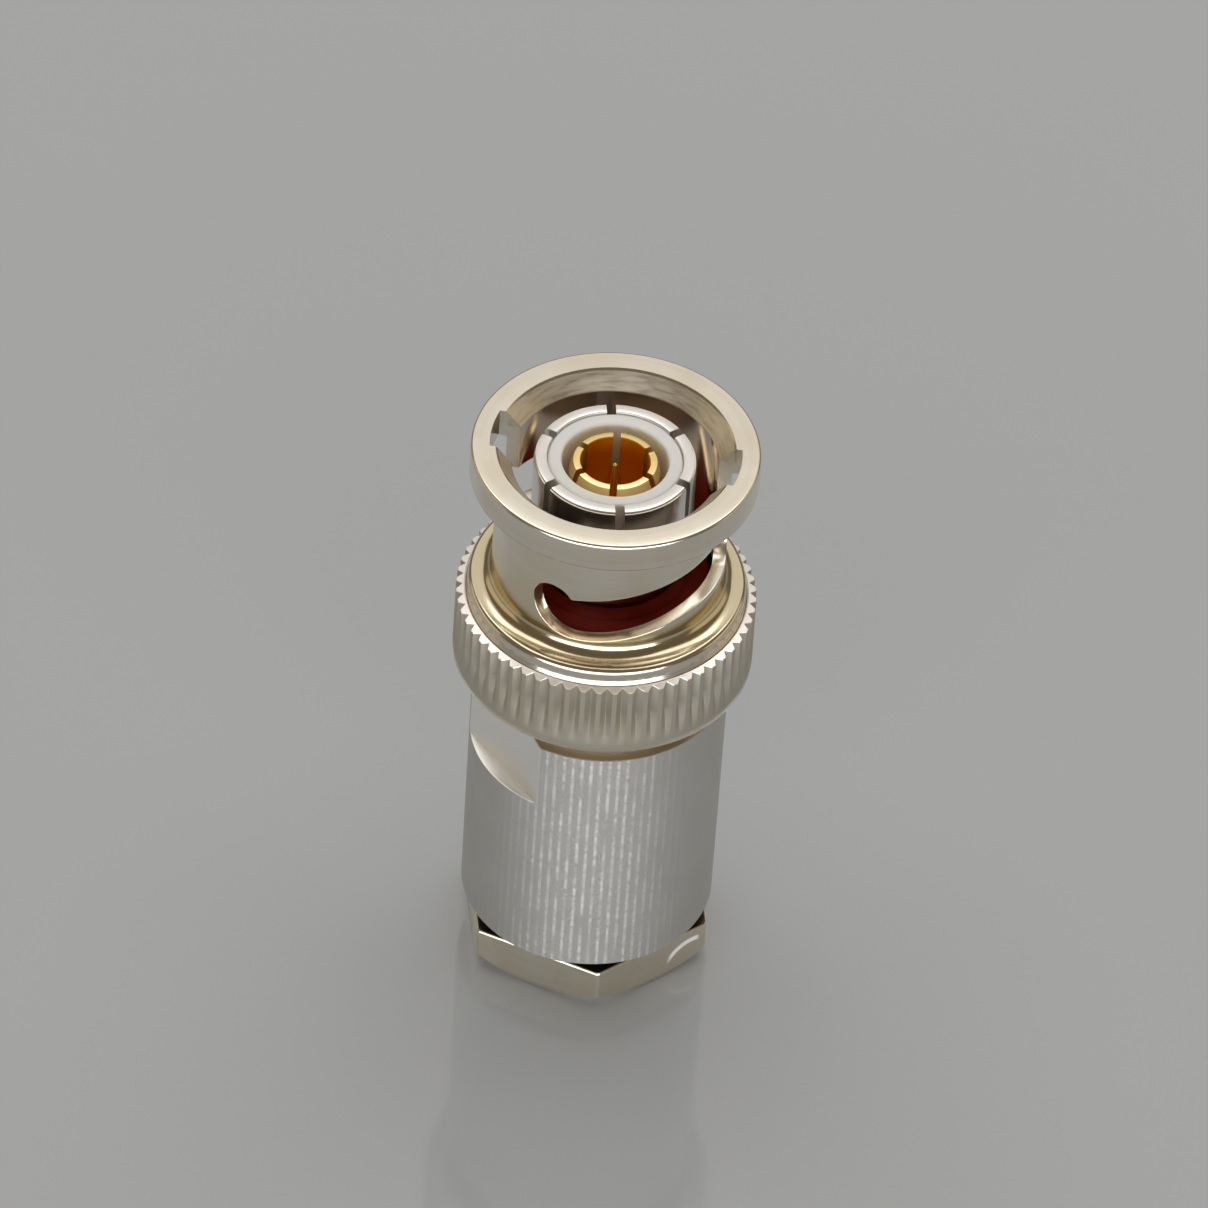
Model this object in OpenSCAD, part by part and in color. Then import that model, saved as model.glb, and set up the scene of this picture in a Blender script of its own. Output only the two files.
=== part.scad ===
// Triaxial bayonet cable plug, clamp type, standing on its hexagon clamp nut.
// Millimetres. +Z runs along the plug's axis towards its mouth, and z = 0 is the nut's rear face.

/* [Clamp nut] */
// Width across the flats of the hexagon
nut_across_flats = 11.9; // [11:0.1:13]
// Height of the hexagon
nut_hex_h = 2.5; // [1.5:0.1:4]
// Angle of one corner of the hexagon, seen from above
nut_corner_az = 278; // [240:1:300]
// Edge break along the top of the hexagon
nut_edge = 0.12; // [0.05:0.01:0.3]
// Slope of the turned chamfer under the hexagon's corners, in degrees
nut_chamfer_slope = 30; // [15:1:45]
// Diameter of the clamp thread
thread_d = 10; // [9.5:0.1:10.6]
// Length of the threaded shank above the hexagon
nut_shank_h = 5.5; // [4:0.1:6]
// Diameter of the cable entry
cable_bore_d = 6.6; // [5:0.1:7]

/* [Body shell] */
// Outer diameter of the shell
shell_d = 13; // [12.4:0.1:14]
// Length of the shell
shell_h = 15.17; // [14.5:0.01:18]
// Gap between the clamp nut and the shell
shell_gap = 0.33; // [0.2:0.01:1]
// Chamfer round the shell's front end
shell_front_chamfer = 0.55; // [0.2:0.05:0.7]
// Edge break round the shell's rear end
shell_rear_chamfer = 0.1; // [0.05:0.05:0.3]
// Width across the two wrench flats
flats_across = 11.5; // [11.2:0.1:12.2]
// Length of the wrench flats, from the shell's front end
flats_h = 4.45; // [2:0.05:7]
// Angle that the visible flat faces
flats_az = 216.8; // [0:0.2:360]
// Length of the internal thread
shell_thread_h = 6.7; // [6.2:0.1:7.5]
// Diameter of the clamp chamber behind the thread
chamber_d = 9.2; // [8.8:0.1:9.4]
// Depth of the socket that takes the outer contact's shank
shank_seat_h = 4; // [2:0.1:5]

/* [Coupling ring] */
// Gap between the shell and the ring
ring_gap = 1.12; // [1:0.01:2]
// Diameter of the plain band under the knurl
knurl_d = 15.16; // [14.9:0.02:16]
// Depth of the tooth tips below the plain band
knurl_sink = 0.02; // [0.01:0.01:0.06]
// Depth of the knurl
knurl_depth = 0.3; // [0.15:0.01:0.35]
// Number of teeth round the knurl
knurl_teeth = 60; // [40:1:80]
// Length of the knurled part, with its plain band
knurl_h = 4.18; // [4:0.02:6]
// Height of the plain band under the knurl
knurl_band_h = 0.6; // [0.3:0.05:1]
// Length over which the grooves run out into the band
knurl_runout_h = 0.6; // [0.2:0.05:1]
// Edge break at the rear of the ring
ring_rear_chamfer = 0.12; // [0.05:0.01:0.3]
// Diameter of the lip in front of the knurl
lip_d = 14; // [13.8:0.05:14.2]
// Height of the lip
lip_h = 0.9; // [0.6:0.05:1.5]
// Rounding of the lip's edge
lip_round = 0.18; // [0.05:0.01:0.25]
// Radius of the hollow between lip and neck
fillet_r = 0.9; // [0.5:0.05:0.95]
// Diameter of the neck
neck_d = 11.7; // [11.4:0.05:11.9]
// Length of the neck between hollow and flange
neck_h = 6.09; // [6:0.01:8]
// Diameter of the front flange
flange_d = 14.4; // [13.8:0.1:15]
// Thickness of the front flange
flange_h = 1.61; // [1.2:0.01:2.5]
// Edge break at the front of the flange, across its face
flange_edge_w = 0.25; // [0.1:0.01:0.4]
// Edge break at the front of the flange, along the axis
flange_edge_h = 0.3; // [0.1:0.01:0.5]
// Bore that takes the mating jack
ring_bore_d = 10.34; // [10.2:0.02:10.6]
// Diameter of the countersink at the mouth
mouth_d = 11.8; // [11.2:0.05:12]
// Depth of the countersink at the mouth
mouth_h = 0.9; // [0.4:0.05:1.2]
// Bore of the chamber that holds the coupling spring
cavity_d = 12.9; // [12.6:0.02:13]
// Depth of the spring chamber from the ring's rear end
cavity_h = 4.28; // [4.1:0.02:4.6]

/* [Bayonet slots] */
// Angle of one lug entry, seen from above
slot_entry_az = 352; // [300:1:360]
// Width of the lug entries
slot_entry_w = 2.65; // [2.2:0.05:3]
// Distance from the axis to the back of an entry notch
slot_root_r = 6.26; // [6.05:0.02:6.6]
// Turn from lug entry to detent, in degrees
slot_turn = 108.7; // [95:0.1:115]
// Radius of the detent
detent_r = 1.1; // [0.9:0.02:1.3]
// Depth of the detent's centre below the ring's front face
detent_depth = 5.8; // [5.4:0.02:6]
// Depth of the track's floor below the detent's centre, at the pocket
track_floor_drop = 1.98; // [1.6:0.02:2.1]
// Rise of the track's floor from pocket to entry
track_floor_rise = 1.03; // [0.5:0.01:1.5]
// Height of the track's roof over the detent's centre, at the pocket
track_roof_lift = 0.55; // [0.3:0.01:0.8]
// Rise of the track's roof from pocket to entry
track_roof_rise = 1.9; // [1:0.05:2.2]

/* [Coupling spring] */
// Thickness of the two flat washers
washer_h = 0.3; // [0.2:0.02:0.4]
// Thickness of the spring strip
spring_strip_h = 0.3; // [0.2:0.02:0.4]
// Way that the ring slides forward against its spring
ring_travel = 0.9; // [0.5:0.05:1]
// Height of the spring when the ring is right forward
spring_closed_h = 0.78; // [0.5:0.02:0.86]
// Number of crests round the wave spring
spring_waves = 3; // [2:1:5]
// Thickness of the retaining ring
retainer_h = 0.5; // [0.3:0.02:0.6]
// Depth of the retaining ring's groove
retainer_depth = 0.3; // [0.15:0.01:0.35]
// Radial width of the retaining ring
retainer_w = 0.9; // [0.6:0.05:1]
// Width of the opening in the retaining ring
retainer_split = 2.2; // [1:0.1:4]

/* [Outer contact] */
// Depth of the contact's front edge below the ring's front face
contact_recess = 0.66; // [0.2:0.02:1.5]
// Diameter over the contact's fingers
contact_d = 8.1; // [7.8:0.02:8.4]
// Bore of the contact
contact_bore_d = 6.76; // [6.5:0.02:7]
// Width of the slots between fingers
contact_slot_w = 0.47; // [0.2:0.01:0.7]
// Length of the slots between fingers
contact_slot_h = 5.2; // [3:0.1:6]
// Number of fingers
contact_fingers = 6; // [4:1:8]
// Angle of one slot, seen from above
contact_slot_az = 96; // [0:1:360]
// Edge break at the fingers' ends
contact_edge = 0.14; // [0.05:0.01:0.2]
// Thickness of the contact's flange
contact_flange_h = 1; // [0.8:0.05:1.1]
// Diameter of the contact's shank
shank_d = 9.8; // [9.6:0.05:10]
// Counterbore in the shank
shank_bore_d = 8.2; // [8:0.05:8.4]
// Wall between the counterbore and the flange's front face
contact_wall_h = 1.4; // [1:0.05:1.8]
// Step of the contact's root, which carries the sealing gasket
contact_root_step = 0.2; // [0.16:0.01:0.3]
// Height of the sealing gasket
seal_h = 1.5; // [0.8:0.05:1.8]
// Clearance between the sealing gasket and the ring
seal_gap = 0.17; // [0.1:0.01:0.3]

/* [Inner contacts and insulators] */
// Depth of the outer insulator's face below the outer contact's edge
insulator_recess = 0.08; // [0:0.01:0.5]
// Rounding of the outer insulator's front edges
insulator_round = 0.15; // [0.05:0.01:0.2]
// Diameter of the socket inside the outer insulator
insulator_socket_d = 5.32; // [5:0.02:5.6]
// Depth of the socket inside the outer insulator
insulator_socket_h = 6.5; // [4:0.1:8]
// Depth of the inner contact's edge below the outer contact's edge
inner_recess = 0.18; // [0.1:0.01:1]
// Diameter of the inner contact
inner_d = 4.56; // [4.3:0.02:4.7]
// Diameter of the inner contact's front edge
inner_front_d = 4.14; // [4:0.02:4.3]
// Length of the inner contact's lead-in cone
inner_lead_h = 0.55; // [0.2:0.05:1]
// Bore of the inner contact
inner_bore_d = 3.46; // [3.2:0.02:3.6]
// Width of the slots in the inner contact
inner_slot_w = 0.37; // [0.2:0.01:0.5]
// Length of the slots in the inner contact
inner_slot_h = 5.2; // [3:0.1:5.4]
// Number of slots in the inner contact
inner_slots = 6; // [4:1:8]
// Angle of one slot in the inner contact
inner_slot_az = 90; // [0:1:360]
// Diameter of the inner contact's flange
inner_flange_d = 5.8; // [5.4:0.05:6.2]
// Thickness of the inner contact's flange
inner_flange_h = 1.9; // [1:0.05:2.2]
// Depth of the flange's seat in the outer insulator
inner_seat_h = 4; // [3:0.1:4.5]
// Diameter of the inner contact's tail
inner_tail_d = 5; // [4.7:0.05:5.2]
// Length of the inner contact's tail
inner_tail_h = 5.6; // [4:0.1:6]
// Rear bore of the inner contact
inner_rear_bore_d = 3.9; // [3.7:0.02:4.1]
// Depth of the inner insulator's face below the inner contact's edge
inner_insulator_recess = 5.5; // [4:0.1:6.5]
// Length of the inner insulator's collar
inner_collar_h = 1; // [0.9:0.05:1.5]
// Length of the bead behind the pin's collar
bead_h = 2.6; // [1.5:0.1:3]

/* [Centre pin] */
// Depth of the pin's tip below the inner contact's edge
pin_recess = 0.2; // [0.05:0.01:2]
// Diameter of the pin
pin_d = 0.9; // [0.7:0.02:1]
// Diameter of the pin's blunt tip
pin_tip_d = 0.16; // [0.08:0.02:0.3]
// Length of the pin's point
pin_point_h = 1.6; // [0.8:0.1:2.5]
// Diameter of the pin's collar
pin_collar_d = 1.8; // [1.7:0.02:2.2]
// Thickness of the pin's collar
pin_collar_h = 0.9; // [0.5:0.05:1.2]
// Diameter of the solder cup
pin_cup_d = 1.5; // [1.3:0.02:1.6]
// Length of the solder cup
pin_cup_h = 5.2; // [4:0.1:6]
// Bore of the solder cup
pin_cup_bore_d = 1; // [0.8:0.02:1.1]
// Depth of the solder cup
pin_cup_bore_h = 3.6; // [2:0.1:3.8]

/* [Cable clamps] */
// Radial width by which the slip washer's bore clears the cable entry
slip_washer_gap = 0.25; // [0.2:0.05:0.4]
// Radial width by which the gasket's bore is tighter than the cable entry
gasket_grip = 0.2; // [0.16:0.01:0.3]
// Thickness of the slip washer
slip_washer_h = 0.5; // [0.3:0.05:0.8]
// Length of the outer braid clamp without its ridge
outer_clamp_h = 2.65; // [1.8:0.05:3]
// Height of the clamp's ridge, which bites into the cable gasket
clamp_ridge_h = 0.85; // [0.4:0.05:1.2]
// Width of the clamp's ridge
clamp_ridge_w = 0.8; // [0.5:0.02:0.9]
// Wall of the outer braid clamp
outer_clamp_wall = 1.05; // [0.9:0.01:1.1]
// Wall of the rear insulator's sleeve
bush_wall = 0.5; // [0.4:0.01:0.55]
// Thickness of the rear insulator's flange
bush_flange_h = 1.5; // [1:0.05:1.8]
// Thickness of the inner braid clamp's flange
inner_clamp_flange_h = 0.6; // [0.4:0.05:0.8]
// Length of the inner braid clamp's sleeve
inner_clamp_sleeve_h = 2.8; // [1.5:0.1:3]
// Bore of the inner braid clamp
inner_clamp_bore_d = 2.6; // [2:0.05:3]
// Wall of the ferrule round the inner contact's tail
ferrule_wall = 0.3; // [0.2:0.01:0.32]
// Length of the ferrule
ferrule_h = 2.6; // [2:0.1:2.8]

/* [Clearances] */
// Radial clearance of pieces that turn or slide on each other
run_clear = 0.06; // [0.03:0.01:0.1]
// Radial clearance of pieces that are seated in each other
seat_clear = 0.02; // [0.01:0.01:0.04]
// Clearance between faces that meet end to end
face_clear = 0.04; // [0.02:0.01:0.08]

/* [Hidden] */
$fn = 96;
eps = 0.5;

nickel = [0.80, 0.78, 0.73];
satin_nickel = [0.74, 0.75, 0.75];
gold = [0.86, 0.66, 0.28];
white = [0.93, 0.93, 0.92];
red = [0.45, 0.09, 0.05];
black = [0.10, 0.10, 0.10];
steel = [0.60, 0.60, 0.58];

// Heights, from the nut's rear face to the ring's front face
shell_z0 = nut_hex_h + shell_gap;
shell_z1 = shell_z0 + shell_h;
shell_step_z = shell_z1 - shank_seat_h;
ring_z0 = shell_z1 + ring_gap;
knurl_z1 = ring_z0 + knurl_h;
lip_z1 = knurl_z1 + lip_h;
flange_z0 = lip_z1 + fillet_r + neck_h;
ring_z1 = flange_z0 + flange_h;
cavity_z1 = ring_z0 + cavity_h;
contact_z1 = ring_z1 - contact_recess;
contact_flange_z0 = cavity_z1 - contact_flange_h;
contact_wall_z0 = cavity_z1 - contact_wall_h;
insulator_z0 = shell_step_z + bush_flange_h + face_clear;
insulator_z1 = contact_z1 - insulator_recess;
socket_z0 = insulator_z1 - insulator_socket_h;
inner_seat_z = insulator_z0 + inner_seat_h;
inner_z1 = contact_z1 - inner_recess;
inner_flange_z0 = inner_seat_z - inner_flange_h;
inner_tail_z0 = inner_flange_z0 - inner_tail_h;
inner_insulator_z1 = inner_z1 - inner_insulator_recess;
bead_z0 = inner_seat_z - inner_collar_h - bead_h;
pin_z1 = inner_z1 - pin_recess;
pin_collar_z1 = inner_seat_z + pin_collar_h / 2;
pin_collar_z0 = pin_collar_z1 - pin_collar_h;

// The coupling spring's stack, from the contact's flange back to the retaining ring
front_washer_z0 = contact_flange_z0 - washer_h;
thrust_washer_z1 = front_washer_z0 - spring_closed_h - ring_travel;
retainer_z1 = thrust_washer_z1 - washer_h;
retainer_z0 = retainer_z1 - retainer_h;

// The cable clamp's stack, from the nut's shank forward to the shell's step
slip_washer_z0 = nut_hex_h + nut_shank_h;
gasket_z0 = slip_washer_z0 + slip_washer_h;
outer_clamp_z0 = shell_step_z - outer_clamp_h;
gasket_z1 = outer_clamp_z0 - face_clear;

// Radii
nut_r = nut_across_flats / 2;
nut_corner_r = nut_r / cos(30);
knurl_r = knurl_d / 2;
knurl_tip_r = knurl_r - knurl_sink;
knurl_root_r = knurl_tip_r - knurl_depth;
lip_r = lip_d / 2;
knurl_core_r = (lip_r + knurl_root_r) / 2;
neck_r = neck_d / 2;
flange_r = flange_d / 2;
ring_bore_r = ring_bore_d / 2;
cavity_r = cavity_d / 2;
retainer_r = cavity_r + retainer_depth;
contact_r = contact_d / 2;
contact_root_r = contact_r + contact_root_step;
shank_r = shank_d / 2;
shank_bore_r = shank_bore_d / 2;
chamber_r = chamber_d / 2;
clamp_r = chamber_r - seat_clear;
cable_r = cable_bore_d / 2;
inner_tail_r = inner_tail_d / 2;
insulator_r = contact_bore_d / 2 - seat_clear;
outer_clamp_bore_r = clamp_r - outer_clamp_wall;
bush_r = outer_clamp_bore_r - seat_clear;
bush_bore_r = bush_r - bush_wall;
ferrule_bore_r = inner_tail_r + seat_clear;

// Share of the turn, from the entry, at which the track's floor starts to fall and ends
track_fall_start = 0.2;
track_fall_end = 0.9;
// Sideways lean of the pocket, from its detent down to its floor
track_lean = 0.25;
track_steps = 26;
arc_steps = 8;
spring_steps = 72;

// Points of an arc about a centre, in the profile plane
function arc(centre, r, from, to, steps = arc_steps) =
    [for (i = [0:steps]) let (a = from + (to - from) * i / steps) centre + r * [cos(a), sin(a)]];

// Triangles between neighbouring rings of points, each ring with the same number of sides
function band_faces(pairs, sides) = [for (pair = pairs, j = [0:sides - 1])
    let (k = (j + 1) % sides, a = pair[0] * sides, b = pair[1] * sides)
    each [[a + j, a + k, b + k], [a + j, b + k, b + j]]];

// A round tube between two heights
module tube(r, bore_r, z0, z1) {
    difference() {
        translate([0, 0, z0]) cylinder(r = r, h = z1 - z0);
        translate([0, 0, z0 - eps]) cylinder(r = bore_r, h = z1 - z0 + 2 * eps);
    }
}

// A hole along the axis between two heights
module bore(r, z0, z1) {
    translate([0, 0, z0]) cylinder(r = r, h = z1 - z0);
}

// Evenly spaced slots cut down from a front edge
module finger_slots(count, width, reach, z0, z1, az) {
    for (i = [0:count - 1])
        rotate(az + i * 360 / count)
            translate([0, -width / 2, z0])
                cube([reach, width, z1 - z0]);
}

module clamp_nut() color(nickel) {
    chamfer_h = (nut_corner_r - nut_r) * tan(nut_chamfer_slope);
    difference() {
        union() {
            intersection() {
                rotate(nut_corner_az) {
                    cylinder(r = nut_corner_r, h = nut_hex_h - nut_edge, $fn = 6);
                    translate([0, 0, nut_hex_h - nut_edge])
                        cylinder(r1 = nut_corner_r, r2 = nut_corner_r - nut_edge, h = nut_edge, $fn = 6);
                }
                union() {
                    cylinder(r1 = nut_r, r2 = nut_corner_r, h = chamfer_h);
                    translate([0, 0, chamfer_h]) cylinder(r = nut_corner_r + eps, h = nut_hex_h);
                }
            }
            translate([0, 0, nut_hex_h - nut_edge])
                cylinder(d = thread_d, h = nut_shank_h + nut_edge);
        }
        bore(cable_r, -eps, nut_hex_h + nut_shank_h + eps);
    }
}

module slip_washer() color(steel)
    tube(clamp_r, cable_r + slip_washer_gap, slip_washer_z0, gasket_z0);

module cable_gasket() color(black) {
    groove_r = (outer_clamp_bore_r + clamp_r) / 2;
    half_w = clamp_ridge_w / 2 + face_clear;
    bore_r = cable_r - gasket_grip;
    rotate_extrude() polygon([
        [bore_r, gasket_z0],
        [clamp_r, gasket_z0],
        [clamp_r, gasket_z1],
        [groove_r + half_w, gasket_z1],
        [groove_r, gasket_z1 - clamp_ridge_h],
        [groove_r - half_w, gasket_z1],
        [bore_r, gasket_z1]
    ]);
}

module outer_braid_clamp() color(nickel) {
    ridge_r = (outer_clamp_bore_r + clamp_r) / 2;
    half_w = clamp_ridge_w / 2;
    rotate_extrude() polygon([
        [outer_clamp_bore_r, outer_clamp_z0],
        [ridge_r - half_w, outer_clamp_z0],
        [ridge_r, outer_clamp_z0 - clamp_ridge_h],
        [ridge_r + half_w, outer_clamp_z0],
        [clamp_r, outer_clamp_z0],
        [clamp_r, shell_step_z],
        [outer_clamp_bore_r, shell_step_z]
    ]);
}

// Sleeve in the clamp, flange in the shank and nose behind the inner contact's flange
module rear_insulator() color(white) {
    flange_z1 = shell_step_z + bush_flange_h;
    difference() {
        union() {
            bore(bush_r, outer_clamp_z0, shell_step_z);
            bore(shank_bore_r - seat_clear, shell_step_z, flange_z1);
            bore(inner_flange_d / 2 - seat_clear, flange_z1, inner_flange_z0);
        }
        bore(bush_bore_r, outer_clamp_z0 - eps, inner_tail_z0 + ferrule_h + face_clear);
        bore(ferrule_bore_r, shell_step_z, inner_flange_z0 + eps);
    }
}

module inner_braid_clamp() color(nickel) {
    flange_z0 = inner_tail_z0 - inner_clamp_flange_h;
    difference() {
        union() {
            bore(inner_tail_r, flange_z0, inner_tail_z0);
            bore(inner_rear_bore_d / 2 - seat_clear, inner_tail_z0, inner_tail_z0 + inner_clamp_sleeve_h);
        }
        bore(inner_clamp_bore_d / 2, flange_z0 - eps, inner_tail_z0 + inner_clamp_sleeve_h + eps);
    }
}

module inner_ferrule() color(nickel)
    tube(ferrule_bore_r + ferrule_wall, ferrule_bore_r, inner_tail_z0, inner_tail_z0 + ferrule_h);

module pin_bead() color(white)
    tube(
        inner_rear_bore_d / 2 - seat_clear, pin_cup_d / 2 + seat_clear,
        bead_z0, bead_z0 + bead_h - face_clear
    );

module center_pin() color(gold) difference() {
    cup_z0 = pin_collar_z0 - pin_cup_h;
    rotate_extrude() polygon([
        [0, cup_z0],
        [pin_cup_d / 2, cup_z0],
        [pin_cup_d / 2, pin_collar_z0],
        [pin_collar_d / 2, pin_collar_z0],
        [pin_collar_d / 2, pin_collar_z1],
        [pin_d / 2, pin_collar_z1],
        [pin_d / 2, pin_z1 - pin_point_h],
        [pin_tip_d / 2, pin_z1],
        [0, pin_z1]
    ]);
    bore(pin_cup_bore_d / 2, cup_z0 - eps, cup_z0 + pin_cup_bore_h);
}

module inner_insulator() color(white) {
    collar_z0 = inner_seat_z - inner_collar_h;
    difference() {
        union() {
            bore(inner_bore_d / 2 - seat_clear, inner_seat_z, inner_insulator_z1);
            bore(inner_rear_bore_d / 2 - seat_clear, collar_z0, inner_seat_z);
        }
        bore(pin_d / 2 + seat_clear, collar_z0 - eps, inner_insulator_z1 + eps);
        bore(pin_collar_d / 2 + seat_clear, collar_z0 - eps, pin_collar_z1 + face_clear);
    }
}

module inner_contact() color(gold) difference() {
    rotate_extrude() polygon([
        [0, inner_tail_z0],
        [inner_tail_r, inner_tail_z0],
        [inner_tail_r, inner_flange_z0],
        [inner_flange_d / 2 - seat_clear, inner_flange_z0],
        [inner_flange_d / 2 - seat_clear, inner_seat_z],
        [inner_d / 2, inner_seat_z],
        [inner_d / 2, inner_z1 - inner_lead_h],
        [inner_front_d / 2, inner_z1],
        [0, inner_z1]
    ]);
    bore(inner_bore_d / 2, inner_tail_z0 - eps, inner_z1 + eps);
    bore(inner_rear_bore_d / 2, inner_tail_z0 - eps, inner_seat_z + face_clear);
    finger_slots(inner_slots, inner_slot_w, inner_d, inner_z1 - inner_slot_h, inner_z1 + eps, inner_slot_az);
}

module outer_insulator() color(white) difference() {
    socket_r = insulator_socket_d / 2;
    collar_z1 = contact_wall_z0 - face_clear;
    rotate_extrude() polygon(concat(
        [
            [0, insulator_z0],
            [shank_bore_r - seat_clear, insulator_z0],
            [shank_bore_r - seat_clear, collar_z1],
            [insulator_r, collar_z1]
        ],
        arc([insulator_r - insulator_round, insulator_z1 - insulator_round], insulator_round, 0, 90),
        arc([socket_r + insulator_round, insulator_z1 - insulator_round], insulator_round, 90, 180),
        [[socket_r, socket_z0], [0, socket_z0]]
    ));
    bore(inner_d / 2 + seat_clear, insulator_z0 - eps, socket_z0 + eps);
    bore(inner_flange_d / 2, insulator_z0 - eps, inner_seat_z + face_clear);
}

module outer_contact() color(nickel) difference() {
    rotate_extrude() polygon([
        [0, shell_step_z],
        [shank_r, shell_step_z],
        [shank_r, contact_flange_z0],
        [cavity_r - run_clear, contact_flange_z0],
        [cavity_r - run_clear, cavity_z1],
        [contact_root_r, cavity_z1],
        [contact_root_r, cavity_z1 + seal_h],
        [contact_r, cavity_z1 + seal_h],
        [contact_r, contact_z1 - contact_edge],
        [contact_r - contact_edge, contact_z1],
        [0, contact_z1]
    ]);
    bore(contact_bore_d / 2, shell_step_z, contact_z1 + eps);
    bore(shank_bore_r, shell_step_z - eps, contact_wall_z0);
    finger_slots(
        contact_fingers, contact_slot_w, contact_d,
        contact_z1 - contact_slot_h, contact_z1 + eps, contact_slot_az
    );
}

module sealing_gasket() color(red)
    tube(ring_bore_r - seal_gap, contact_root_r + seat_clear, cavity_z1, cavity_z1 + seal_h);

module body_shell() color(satin_nickel) {
    shell_r = shell_d / 2;
    flat_z0 = shell_z1 - flats_h;
    difference() {
        rotate_extrude() polygon([
            [0, shell_z0],
            [shell_r - shell_rear_chamfer, shell_z0],
            [shell_r, shell_z0 + shell_rear_chamfer],
            [shell_r, shell_z1 - shell_front_chamfer],
            [shell_r - shell_front_chamfer, shell_z1],
            [0, shell_z1]
        ]);
        bore(thread_d / 2 + run_clear, shell_z0 - eps, shell_z0 + shell_thread_h);
        bore(chamber_r, shell_z0, shell_step_z + eps);
        bore(shank_r + seat_clear, shell_step_z, shell_z1 + eps);
        for (side = [0, 180])
            rotate(flats_az + side)
                translate([flats_across / 2, -shell_r, flat_z0])
                    cube([shell_r, shell_d, flats_h + eps]);
    }
}

module front_washer() color(steel)
    tube(cavity_r - 2 * run_clear, shank_r + run_clear, front_washer_z0, contact_flange_z0);

// Strip that waves up and down between the two washers
module coupling_spring() color(steel) {
    inner_r = shank_r + 2 * run_clear;
    outer_r = cavity_r - 3 * run_clear;
    mid_z = (front_washer_z0 + thrust_washer_z1) / 2;
    swing = (front_washer_z0 - thrust_washer_z1 - spring_strip_h) / 2 - face_clear;
    section = [
        [inner_r, -spring_strip_h / 2], [outer_r, -spring_strip_h / 2],
        [outer_r, spring_strip_h / 2], [inner_r, spring_strip_h / 2]
    ];
    points = [for (i = [0:spring_steps - 1], p = section)
        let (a = i * 360 / spring_steps)
        [p[0] * cos(a), p[0] * sin(a), mid_z + swing * cos(spring_waves * a) + p[1]]];
    polyhedron(points, band_faces([for (i = [0:spring_steps - 1]) [i, (i + 1) % spring_steps]], len(section)));
}

module thrust_washer() color(steel)
    tube(cavity_r - 2 * run_clear, shank_r + run_clear, retainer_z1, thrust_washer_z1);

module retaining_ring() color(steel) difference() {
    tube(retainer_r - seat_clear, retainer_r - retainer_w, retainer_z0 + face_clear, retainer_z1);
    translate([0, -retainer_split / 2, retainer_z0 - eps])
        cube([knurl_d, retainer_split, retainer_h + 2 * eps]);
}

// Body of the ring as turned, before it is bored: rear edge, band, knurl core, lip, hollow, neck and flange
module ring_blank() {
    band_z1 = ring_z0 + knurl_band_h;
    skirt_h = lip_round;
    rotate_extrude() polygon(concat(
        [
            [0, ring_z0],
            [knurl_r - ring_rear_chamfer, ring_z0],
            [knurl_r, ring_z0 + ring_rear_chamfer],
            [knurl_r, band_z1],
            [knurl_core_r, band_z1 + knurl_runout_h],
            [knurl_core_r, knurl_z1 - skirt_h],
            [lip_r, knurl_z1 + skirt_h]
        ],
        arc([lip_r - lip_round, lip_z1 - lip_round], lip_round, 0, 90),
        arc([neck_r + fillet_r, lip_z1 + fillet_r], fillet_r, 270, 180),
        [
            [neck_r, flange_z0],
            [flange_r - ring_rear_chamfer, flange_z0],
            [flange_r, flange_z0 + ring_rear_chamfer],
            [flange_r, ring_z1 - flange_edge_h],
            [flange_r - flange_edge_w, ring_z1],
            [0, ring_z1]
        ]
    ));
}

// V teeth of the knurl
module knurl() {
    step = 180 / knurl_teeth;
    z0 = ring_z0 + knurl_band_h / 2;
    translate([0, 0, z0])
        linear_extrude(knurl_z1 - z0)
            polygon([for (i = [0:2 * knurl_teeth - 1])
                (i % 2 == 0 ? knurl_tip_r : knurl_root_r) * [cos(i * step), sin(i * step)]]);
}

// The lug's way as seen from outside, unrolled on the neck: x is the arc from the entry to the pocket
detent_z = ring_z1 - detent_depth;
detent_x = neck_r * slot_turn * PI / 180;
pocket_z = detent_z - track_floor_drop + detent_r;
pocket_x = detent_x - (detent_z - pocket_z) * track_lean;
entry_r = slot_entry_w / 2;
entry_z = pocket_z - detent_r + track_floor_rise + entry_r;

// Half the height of a round hole at a distance from its centre, and 0 outside it
function round_half(r, x) = sqrt(max(0, r * r - x * x));

// Share of the track's fall that is done at x
function track_fall(x, from) = min(1, max(0, (x / detent_x - from) / (track_fall_end - from)));

// Height of the slot's floor at x: round at the entry, falling along the track, round at the pocket
function slot_floor(x) =
    x < 0 ? entry_z - round_half(entry_r, x)
    : x < pocket_x ? pocket_z - detent_r + track_floor_rise * (1 - track_fall(x, track_fall_start))
    : x < pocket_x + detent_r ? min(pocket_z - round_half(detent_r, x - pocket_x), detent_floor(x))
    : detent_floor(x);

function detent_floor(x) = detent_z - round_half(detent_r, x - detent_x);

function detent_roof(x) = detent_z + round_half(detent_r, x - detent_x);

// Height of the slot's roof at x: falling along the track, then up into the detent
function slot_roof(x) =
    x < pocket_x
    ? max(detent_z + track_roof_lift + track_roof_rise * (1 - track_fall(x, 0)), detent_roof(x))
    : detent_roof(x);

// Places of the slot's sections: close together round the two ends, even along the track
slot_stations = concat(
    [for (t = [75:-15:15]) -entry_r * sin(t)],
    [for (i = [0:track_steps]) pocket_x * i / track_steps],
    [for (t = [-45:15:75]) if (detent_x + detent_r * sin(t) > pocket_x + 0.05) detent_x + detent_r * sin(t)]
);

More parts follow.
